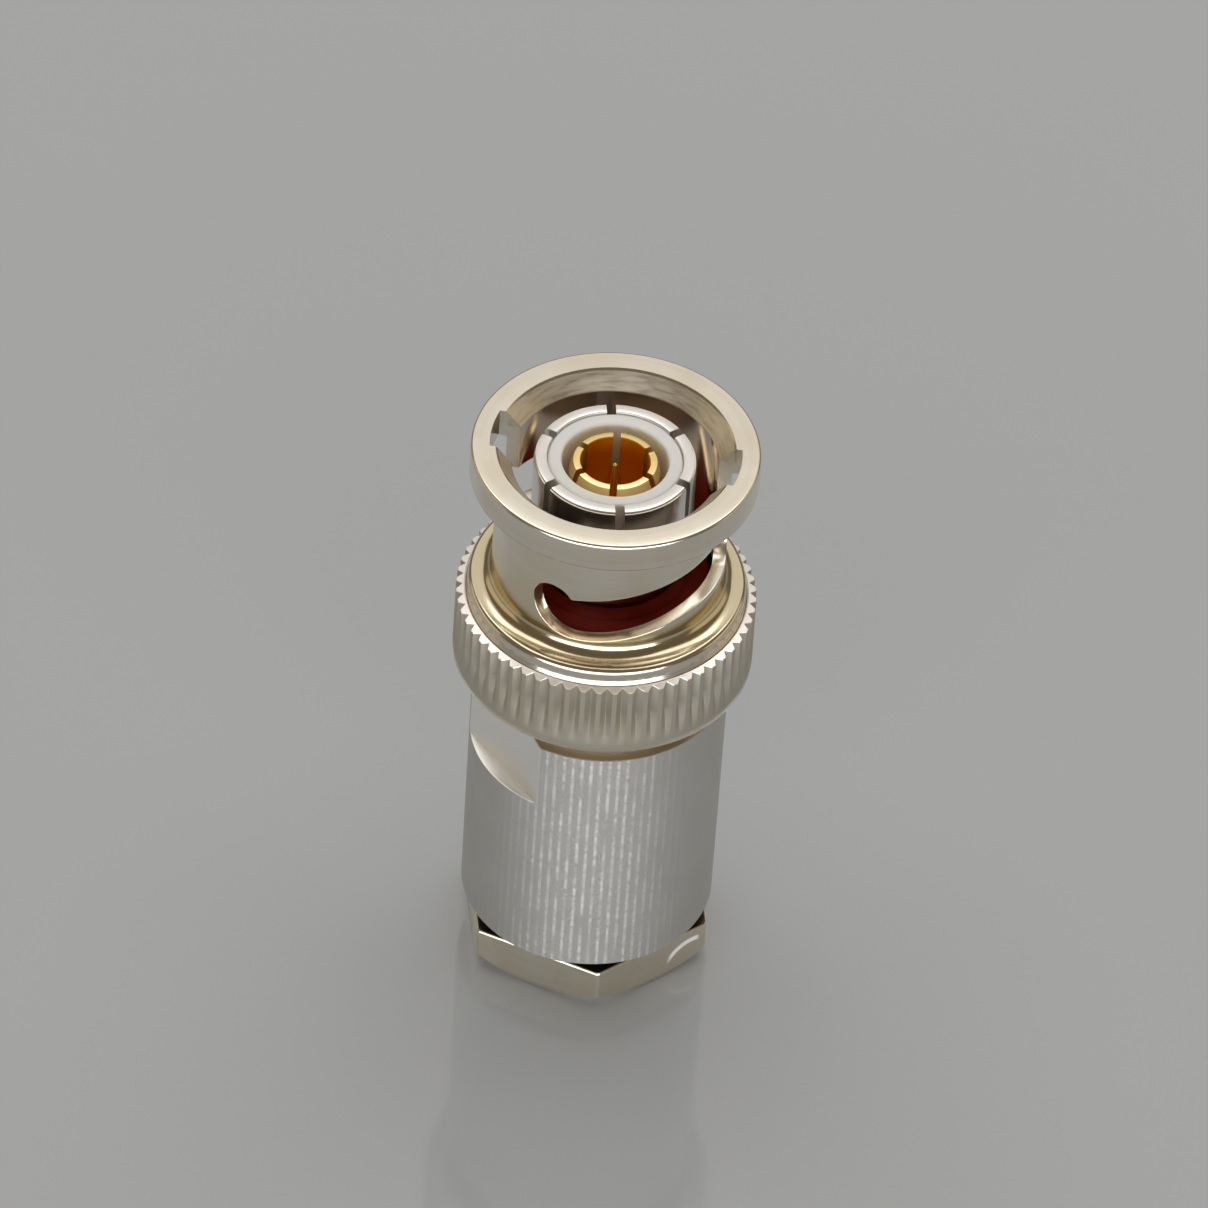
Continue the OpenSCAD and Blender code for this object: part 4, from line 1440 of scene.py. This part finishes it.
@dataclass
class Contacts:
    """The slotted outer contact and the gold inner contact."""

    front_z: float
    slots: int = 6
    outer_r: float = 4.05
    outer_bore_r: float = 3.38
    outer_edge: float = 0.20
    outer_bore_edge: float = 0.06
    outer_tip_h: float = 1.0
    outer_slot_h: float = 5.2
    outer_slot_w: float = 0.47
    outer_slot_az: float = 96.0
    root_r: float = 4.25
    root_z: float = 24.72
    flange_r: float = 6.39
    flange_z0: float = 22.4
    flange_z1: float = 23.4
    flange_edge: float = 0.05
    shank_r: float = 4.9
    shank_z: float = 14.0
    shank_bore_r: float = 4.1
    wall_z: float = 22.0
    inner_recess: float = 0.18
    inner_r: float = 2.28
    inner_front_r: float = 2.07
    inner_bore_r: float = 1.73
    inner_bore_edge: float = 0.04
    inner_lead_h: float = 0.55
    inner_lead_edge: tuple[float, float] = (0.01, 0.05)
    inner_slot_h: float = 5.2
    inner_slot_w: float = 0.37
    inner_slot_az: float = 90.0
    inner_columns: int = 18
    inner_flange_r: float = 2.88
    inner_flange_h: float = 1.9
    inner_seat_z: float = 19.54
    inner_tail_r: float = 2.5
    inner_tail_z: float = 12.04
    inner_rear_r: float = 1.95

    def outer(self) -> None:
        """Makes the outer contact: six fingers on a flanged shank."""
        top, e, b, f = self.front_z, self.outer_edge, self.outer_bore_edge, self.flange_edge
        slot_z, tip_z = top - self.outer_slot_h, top - self.outer_tip_h
        base = path(
            [self.outer_bore_r, slot_z], [self.outer_bore_r, self.wall_z], [self.shank_bore_r, self.wall_z],
            [self.shank_bore_r, self.shank_z], [self.shank_r, self.shank_z], [self.shank_r, self.flange_z0],
            [self.flange_r - f, self.flange_z0], [self.flange_r, self.flange_z0 + f],
            [self.flange_r, self.flange_z1 - f], [self.flange_r - f, self.flange_z1],
            [self.root_r, self.flange_z1], [self.root_r, self.root_z], [self.outer_r, self.root_z],
            [self.outer_r, slot_z],
        )
        fingers = path(
            [self.outer_r, slot_z], [self.outer_r, tip_z],
            arc((self.outer_r - e, top - e), e, 0, 90, 4),
            arc((self.outer_bore_r + b, top - b), b, 90, 180, 3),
            [self.outer_bore_r, tip_z], [self.outer_bore_r, slot_z],
        )
        sleeve = SlottedSleeve(base, fingers, self.slots, self.outer_slot_w, self.outer_slot_az)
        piece = sleeve.build("finger_sleeve")
        seat(piece, Body.SHELL, "outer_contact", CONTACT_NICKEL)

    def inner(self) -> None:
        """Makes the inner contact: a gold socket with a lead-in cone and six slots."""
        top, seat_z, e = self.front_z - self.inner_recess, self.inner_seat_z, self.inner_bore_edge
        slot_z, lead_z = top - self.inner_slot_h, top - self.inner_lead_h
        flange_z0 = seat_z - self.inner_flange_h
        edge_in, edge_down = self.inner_lead_edge
        base = path(
            [self.inner_bore_r, slot_z], [self.inner_bore_r, seat_z], [self.inner_rear_r, seat_z],
            [self.inner_rear_r, self.inner_tail_z], [self.inner_tail_r, self.inner_tail_z],
            [self.inner_tail_r, flange_z0], [self.inner_flange_r, flange_z0], [self.inner_flange_r, seat_z],
            [self.inner_r, seat_z], [self.inner_r, slot_z],
        )
        fingers = path(
            [self.inner_r, slot_z], [self.inner_r, lead_z - edge_down], [self.inner_r - edge_in, lead_z],
            [self.inner_front_r + e / 2, top - e / 2], [self.inner_front_r - e / 2, top],
            [self.inner_bore_r + e, top], [self.inner_bore_r, top - e], [self.inner_bore_r, slot_z],
        )
        sleeve = SlottedSleeve(
            base, fingers, self.slots, self.inner_slot_w, self.inner_slot_az, self.inner_columns
        )
        seat(sleeve.build("gold_socket"), Body.SHELL, "inner_contact", GOLD)

    def build(self) -> None:
        """Makes both contacts."""
        self.outer()
        self.inner()


@dataclass
class Insulator:
    """The white insulator between the outer and the inner contact."""

    rear_z: float
    front_z: float
    outer_r: float = 3.36
    socket_r: float = 2.66
    socket_h: float = 6.5
    edge: float = 0.15
    collar_r: float = 4.08
    collar_z: float = 21.96
    bore_r: float = 2.30
    seat_r: float = 2.90
    seat_z: float = 19.58
    columns: int = 144

    def build(self) -> None:
        """Makes the insulator: a turned sleeve with rounded front edges."""
        top, e = self.front_z, self.edge
        profile = path(
            [self.seat_r, self.rear_z], [self.collar_r, self.rear_z], [self.collar_r, self.collar_z],
            [self.outer_r, self.collar_z],
            arc((self.outer_r - e, top - e), e, 0, 90, 8), arc((self.socket_r + e, top - e), e, 90, 180, 8),
            [self.socket_r, top - self.socket_h], [self.bore_r, top - self.socket_h],
            [self.bore_r, self.seat_z], [self.seat_r, self.seat_z], [self.seat_r, self.rear_z],
        )
        piece = Shape.turned(profile, self.columns).build("front_insulator")
        seat(piece, Body.SHELL, "outer_insulator", WHITE)


@dataclass
class Seal:
    """The red sealing gasket at the foot of the fingers."""

    rear_z: float
    front_z: float
    inner_r: float = 4.27
    lip_r: float = 4.055
    lip_z: float = 24.74
    outer_r: float = 5.10
    edge: float = 0.10
    crown: float = 0.28
    columns: int = 128

    def build(self) -> None:
        """Makes the gasket: a square-cut ring with soft edges and a lip towards the fingers."""
        top, low, e = self.front_z, self.rear_z, self.edge
        profile = path(
            arc((self.inner_r + e, low + e), e, 180, 270, 4),
            arc((self.outer_r - e, low + e), e, 270, 360, 4),
            arc((self.outer_r - self.crown, top - self.crown), self.crown, 0, 90, 8), [self.lip_r, top],
            [self.lip_r, self.lip_z], [self.inner_r, self.lip_z], [self.inner_r, low + e],
        )
        piece = Shape.turned(profile, self.columns).build("mouth_seal")
        seat(piece, Body.SHELL, "sealing_gasket", RED)


@dataclass
class BodyShell:
    """The round body: two wrench flats, a chamfered front and an internal thread."""

    rear_z: float
    front_z: float
    radius: float = 6.5
    rear_edge: float = 0.1
    rear_edge_mid: tuple[float, float] = (0.2, 0.4)
    front_chamfer: float = 0.55
    flat_r: float = 5.75
    flat_h: float = 4.45
    flat_az: float = 216.8
    ledge_edge: float = 0.06
    ledge_edge_mid: tuple[float, float] = (0.37, 0.33)
    seat_r: float = 4.92
    seat_h: float = 4.0
    seat_edge: float = 0.1
    chamber_r: float = 4.6
    thread_r: float = 5.06
    thread_depth: float = 0.34
    thread_h: float = 6.7
    pitch: float = 0.75
    turn_rows: int = 8
    column_step: float = 1.5
    chamfer_rows: int = 9

    def columns(self) -> Array:
        """Angles of the columns, with one on each edge of the flats.

        Returns:
            The angles, rising.
        """
        edge = math.degrees(math.acos(self.flat_r / self.radius))
        flats = [self.flat_az + side + s * edge for side in (0.0, 180.0) for s in (-1.0, 1.0)]
        return np.unique(np.mod(np.concatenate([np.arange(0.0, 360.0, self.column_step), flats]), 360.0))

    def flat_limit(self, angle: Array) -> Array:
        """Distance from the axis to the nearer flat: flat distance / cos of the angle from its middle."""
        off = np.mod(angle - self.flat_az + 90.0, 180.0) - 90.0
        return self.flat_r / np.maximum(np.cos(np.radians(off)), 0.2)

    def outside(self, angle: Array) -> list[Array]:
        """Points up the outside: broken rear edge, round side, ledge, flat and chamfer.

        Args:
            angle: the angles, one for each column.

        Returns:
            Stretches of columns by rows.
        """
        limit, full = self.flat_limit(angle), np.ones_like(angle)
        low, top, ledge = self.rear_z, self.front_z, self.front_z - self.flat_h
        wall, rear, broken = self.radius, self.rear_edge, self.ledge_edge
        flat_r = np.minimum(wall, limit)
        chamfer = np.linspace(0.0, self.front_chamfer, self.chamfer_rows)[None, :]
        rows = [
            ((wall - rear) * full, low * full),
            ((wall - self.rear_edge_mid[0] * rear) * full, (low + self.rear_edge_mid[1] * rear) * full),
            (wall * full, (low + rear) * full),
            (wall * full, (ledge - broken) * full),
            (np.maximum(flat_r, wall - self.ledge_edge_mid[0] * broken),
             (ledge - self.ledge_edge_mid[1] * broken) * full),
            (np.maximum(flat_r, wall - broken), ledge * full),
            (flat_r, ledge * full),
            (np.minimum(wall - chamfer, limit), top - self.front_chamfer + chamfer * full),
        ]
        return [place(r, angle, z) for r, z in rows]

    def inside(self, angle: Array) -> list[Array]:
        """Points down the inside: seat, chamber and a thread that fades out at both ends.

        Args:
            angle: the angles, one for each column.

        Returns:
            Stretches of columns by rows.
        """
        low, top, thread_top = self.rear_z, self.front_z, self.rear_z + self.thread_h
        bores = path(
            [self.seat_r + self.seat_edge, top], [self.seat_r, top - self.seat_edge],
            [self.seat_r, top - self.seat_h], [self.chamber_r, top - self.seat_h],
            [self.chamber_r, thread_top],
        )
        z = np.linspace(thread_top, low, int(self.thread_h / self.pitch * self.turn_rows))[None, :]
        fade = smooth((z - low) / self.pitch) * smooth((thread_top - z) / self.pitch)
        thread_r = self.thread_r - self.thread_depth * thread_groove(angle, z, self.pitch) * fade
        return [lathe(bores, angle[:, 0]), place(thread_r, angle, z * np.ones_like(angle))]

    def build(self) -> None:
        """Makes the shell: up the outside, over the front and down the bores and the thread."""
        angle = self.columns()[:, None]
        grid = self.outside(angle) + self.inside(angle)
        shape = Shape()
        shape.grid(np.concatenate(grid + [grid[0][:, :1]], axis=1), wrap=True)
        seat(shape.build("round_body"), Body.SHELL, "body_shell", BODY_NICKEL)


@dataclass
class ClampNut:
    """The hexagon clamp nut with its threaded shank."""

    rear_z: float
    front_z: float
    flat_r: float = 5.95
    hex_h: float = 2.5
    corner_az: float = 278.0
    corner_round: float = 0.05
    top_edge: float = 0.12
    top_edge_mid: tuple[float, float] = (0.305, 0.375)
    top_edge_in: float = 0.805
    sharp: float = 24.0
    chamfer_slope: float = 41.0
    chamfer_in: float = 0.02
    chamfer_rows: int = 4
    thread_r: float = 5.0
    thread_gap: float = 0.02
    thread_depth: float = 0.34
    thread_start: float = 0.1
    thread_end: float = 0.12
    pitch: float = 0.75
    turn_rows: int = 10
    bore_r: float = 3.3
    bore_edge: float = 0.15
    front_edge: float = 0.1
    column_step: float = 1.5

    def columns(self) -> Array:
        """Angles of the columns: even along each side, closer at the corners.

        Returns:
            The angles, one in each row.
        """
        step = self.column_step
        side = np.concatenate([[0.0, step / 2], np.arange(step, 60.0 - step / 2, step), [60.0 - step / 2]])
        return (self.corner_az + 60.0 * np.arange(6)[:, None] + side[None, :]).reshape(-1, 1)

    def hexagon(self, angle: Array) -> Array:
        """Distance from the axis to the hexagon: flat distance / cos of the angle from a flat's middle.

        Args:
            angle: angles in degrees.

        Returns:
            The distances, a little less at the corners.
        """
        off = np.mod(angle - self.corner_az, 60.0) - 30.0
        sharp = self.flat_r / np.cos(np.radians(off))
        return np.minimum(sharp, self.flat_r / math.cos(math.radians(30.0)) - self.corner_round)

    def outside(self, angle: Array) -> list[Array]:
        """Points from the bore's rear edge out, up the sides and in over the top: a cone cuts the underside.

        Args:
            angle: the angles, one for each column.

        Returns:
            Stretches of columns by rows.
        """
        reach, full = self.hexagon(angle), np.ones_like(angle)
        slope = math.tan(math.radians(self.chamfer_slope))
        foot_r = self.flat_r - self.chamfer_in
        cone = foot_r + (reach - foot_r) * np.linspace(0.0, 1.0, self.chamfer_rows)[None, :]
        top, e = self.rear_z + self.hex_h, self.top_edge
        mid_in, mid_down = self.top_edge_mid
        rows = [
            ((self.bore_r + self.bore_edge) * full, self.rear_z * full),
            (cone, self.rear_z + (cone - cone[:, :1]) * slope),
            (reach, (top - e) * full),
            (reach * (1.0 - mid_in * e / self.flat_r), (top - mid_down * e) * full),
            (reach * (1.0 - self.top_edge_in * e / self.flat_r), top * full),
            ((self.thread_r - self.thread_depth) * full, top * full),
        ]
        return [place(r, angle, z) for r, z in rows]

    def shank(self, angle: Array) -> list[Array]:
        """Points up the shank's thread, which starts gently, and down the cable bore.

        Args:
            angle: the angles, one for each column.

        Returns:
            Stretches of columns by rows.
        """
        low, top = self.rear_z + self.hex_h, self.front_z
        rows = int((top - low) / self.pitch * self.turn_rows)
        z = np.linspace(low + self.thread_start, top - self.thread_end, rows)[None, :]
        sunk = np.maximum(thread_groove(angle, z, self.pitch), 1.0 - smooth((z - low) / self.pitch))
        thread_r = self.thread_r - self.thread_gap - self.thread_depth * sunk
        bore = path(
            [self.thread_r - self.thread_depth - self.front_edge, top], [self.bore_r + self.front_edge, top],
            [self.bore_r, top - self.front_edge], [self.bore_r, self.rear_z + self.bore_edge],
            [self.bore_r + self.bore_edge, self.rear_z],
        )
        return [place(thread_r, angle, z * np.ones_like(angle)), lathe(bore, angle[:, 0])]

    def build(self) -> None:
        """Makes the nut: chamfered underneath, edges broken on top, thread up the shank, cable bore."""
        angle = self.columns()
        shape = Shape()
        shape.grid(np.concatenate(self.outside(angle) + self.shank(angle), axis=1), wrap=True)
        piece = shape.build("hexagon_nut", self.sharp)
        seat(piece, Body.CLAMP, "clamp_nut", NUT_NICKEL)


@dataclass
class WaveSpring:
    """The wave spring behind the contact's flange, built in one shape; the real one is squeezed as the ring
    goes forward.
    """

    rear_z: float = 20.42
    front_z: float = 22.10
    travel: float = 0.9
    inner_r: float = 5.02
    outer_r: float = 6.27
    strip_h: float = 0.3
    gap: float = 0.04
    edge: float = 0.04
    waves: int = 3
    columns: int = 240

    def build(self) -> None:
        """Makes the strip: its middle is at mean height + swing · cos(waves · angle)."""
        angle = np.arange(self.columns)[:, None] * 360.0 / self.columns
        swing = (self.front_z - self.rear_z - self.strip_h) / 2 - self.gap
        middle = (self.front_z + self.rear_z) / 2 + swing * np.cos(np.radians(self.waves * angle))
        e, half = self.edge, self.strip_h / 2
        section = path(
            [self.inner_r, -half + e], [self.inner_r + e, -half], [self.outer_r - e, -half],
            [self.outer_r, -half + e], [self.outer_r, half - e], [self.outer_r - e, half],
            [self.inner_r + e, half], [self.inner_r, half - e], [self.inner_r, -half + e],
        )
        shape = Shape()
        shape.grid(place(section[None, :, 0], angle, middle + section[None, :, 1]), wrap=True)
        piece = seat(shape.build("wave_strip"), Body.SHELL, "coupling_spring", STEEL)
        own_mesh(piece)


@dataclass
class CentrePin:
    """The gold pin on the axis, with its collar and solder cup."""

    rear_z: float
    front_z: float
    radius: float = 0.45
    tip_r: float = 0.08
    tip_edge: float = 0.02
    point_h: float = 1.6
    collar_r: float = 0.9
    collar_z0: float = 19.09
    collar_z1: float = 19.99
    cup_r: float = 0.75
    cup_bore_r: float = 0.5
    cup_depth: float = 3.6
    columns: int = 48

    def build(self) -> None:
        """Makes the pin: a turned point with a rounded tip, a collar and a bored cup."""
        top, low = self.front_z, self.rear_z
        profile = path(
            [0.0, low + self.cup_depth], [self.cup_bore_r, low + self.cup_depth], [self.cup_bore_r, low],
            [self.cup_r, low], [self.cup_r, self.collar_z0], [self.collar_r, self.collar_z0],
            [self.collar_r, self.collar_z1], [self.radius, self.collar_z1], [self.radius, top - self.point_h],
            [self.tip_r + self.tip_edge, top - self.tip_r],
            arc((0.0, top - self.tip_r), self.tip_r, 0, 90, 5),
        )
        piece = Shape.turned(profile, self.columns).build("contact_pin")
        seat(piece, Body.SHELL, "center_pin", PIN_GOLD)


@dataclass
class InnerPieces:
    """The pieces inside the body that keep their CAD shapes."""

    finishes: dict[str, Finish] = field(default_factory=lambda: {
        "slip_washer": STEEL,
        "cable_gasket": BLACK,
        "outer_braid_clamp": CLAMP_NICKEL,
        "rear_insulator": WHITE,
        "inner_braid_clamp": CLAMP_NICKEL,
        "inner_ferrule": CLAMP_NICKEL,
        "pin_bead": WHITE,
        "inner_insulator": WHITE,
        "front_washer": STEEL,
        "thrust_washer": STEEL,
        "retaining_ring": STEEL,
    })

    def build(self) -> None:
        """Dresses each piece."""
        for node, finish in self.finishes.items():
            dress(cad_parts[node], finish)
            log.info("%s: dressed in %s", node, finish.name)


# Stage


@dataclass(frozen=True)
class SoftBox:
    """A rectangular studio light, in metres."""

    name: str
    place: tuple[float, float, float]
    aim: tuple[float, float, float]
    size: tuple[float, float]
    radiance: float
    colour: Colour = (1.0, 1.0, 1.0)

    def build(self) -> None:
        """Hangs the light so that it looks at its aim; the camera doesn't see the box itself."""
        data = bpy.data.lights.new(self.name, "AREA")
        data.shape = "RECTANGLE"
        data.size, data.size_y = self.size
        data.energy = math.pi * self.size[0] * self.size[1] * self.radiance
        data.color = self.colour
        light = bpy.data.objects.new(self.name, data)
        light.location = self.place
        light.visible_camera = False
        light.rotation_euler = (Vector(self.aim) - Vector(self.place)).to_track_quat("-Z", "Y").to_euler()
        bpy.context.scene.collection.objects.link(light)


@dataclass
class Studio:
    """Floor, lights and camera."""

    floor_half: float = 1.5
    floor_z: float = -0.02
    floor_tone: Colour = (0.460, 0.488, 0.522)
    floor_cloud: float = 1.04
    floor_gloss: float = 0.06
    floor_wear: float = 0.02
    floor_ior: float = 1.70
    camera_target: tuple[float, float, float] = (-0.069, 0.0, 22.171)
    camera_distance: float = 420.936
    camera_elevation: float = 43.301
    camera_roll: float = 3.988
    camera_range: tuple[float, float] = (0.01, 20.0)
    focal_px: float = 8372.731
    image_px: float = 1208.0
    sensor_mm: float = 36.0
    sky: Colour = (1.0, 0.80, 0.54)
    sky_strength: float = 0.14
    boxes: tuple[SoftBox, ...] = (
        SoftBox("back_box", (0.0, 0.80, 0.77), (0.0, 0.0, 0.02), (1.8, 0.9), 0.60, (1.0, 0.995, 0.985)),
        SoftBox("top_box", (0.0, 0.30, 1.2), (0.0, 0.15, 0.02), (1.6, 1.05), 1.45, (1.0, 0.985, 0.96)),
        SoftBox("front_strip", (0.0, -1.0, 0.17), (0.0, 0.0, 0.02), (2.0, 0.28), 4.8),
        SoftBox("left_card", (-1.0, 0.25, 0.28), (0.0, 0.0, 0.02), (0.9, 0.45), 0.45, (1.0, 0.84, 0.58)),
        SoftBox("right_card", (1.0, 0.25, 0.28), (0.0, 0.0, 0.02), (0.9, 0.45), 0.45, (1.0, 0.84, 0.58)),
    )

    def floor(self) -> None:
        """Lays the floor: a glossy grey sheet."""
        mesh = bpy.data.meshes.new("floor")
        h, z = self.floor_half, self.floor_z * MM
        mesh.from_pydata([(-h, -h, z), (h, -h, z), (h, h, z), (-h, h, z)], [], [(0, 1, 2, 3)])
        floor = bpy.data.objects.new("floor", mesh)
        bpy.context.scene.collection.objects.link(floor)
        graph = Graph("grey_sheet")
        light = tuple(min(1.0, c * self.floor_cloud) for c in self.floor_tone)
        graph.set(Base_Color=graph.mix(graph.noise(graph.place, 0.01, 2.0), self.floor_tone, light))
        graph.set(Roughness=self.floor_gloss + self.floor_wear * graph.noise(graph.place, 0.2, 2.0))
        graph.set(IOR=self.floor_ior)
        mesh.materials.append(graph.material)

    def world(self) -> None:
        """Sets the even light of the room."""
        world = bpy.data.worlds.new("room")
        world.use_nodes = True
        ground = world.node_tree.nodes["Background"]
        ground.inputs["Color"].default_value = self.sky + (1.0,)
        ground.inputs["Strength"].default_value = self.sky_strength
        bpy.context.scene.world = world

    def camera(self) -> None:
        """Sets the camera at the photograph's angle, turned by its roll."""
        e, roll = math.radians(self.camera_elevation), math.radians(self.camera_roll)
        back = Vector((0.0, -math.cos(e), math.sin(e)))
        right = Vector((1.0, 0.0, 0.0))
        up = back.cross(right)
        side = right * math.cos(roll) + up * math.sin(roll)
        head = up * math.cos(roll) - right * math.sin(roll)
        data = bpy.data.cameras.new("camera")
        data.sensor_width = self.sensor_mm
        data.lens = self.focal_px / self.image_px * self.sensor_mm
        data.clip_start, data.clip_end = self.camera_range
        camera = bpy.data.objects.new("camera", data)
        turn = Matrix((side, head, back)).transposed().to_4x4()
        spot = (Vector(self.camera_target) + back * self.camera_distance) * MM
        camera.matrix_world = Matrix.Translation(spot) @ turn
        bpy.context.scene.collection.objects.link(camera)
        bpy.context.scene.camera = camera

    def build(self) -> None:
        """Sets up the whole stage."""
        self.floor()
        self.world()
        for box in self.boxes:
            box.build()
        self.camera()
        bpy.context.scene.view_settings.view_transform = "Standard"


def main() -> None:
    """Builds and dresses the plug from the outside in, then the stage."""
    logging.basicConfig(level=logging.INFO, format="%(name)s: %(message)s")
    CouplingRing(*heights("coupling_ring")).build()
    Contacts(heights("outer_contact")[1]).build()
    Insulator(*heights("outer_insulator")).build()
    Seal(*heights("sealing_gasket")).build()
    BodyShell(*heights("body_shell")).build()
    ClampNut(*heights("clamp_nut")).build()
    WaveSpring().build()
    CentrePin(*heights("center_pin")).build()
    InnerPieces().build()
    Studio().build()


if __name__ == "__main__":
    main()
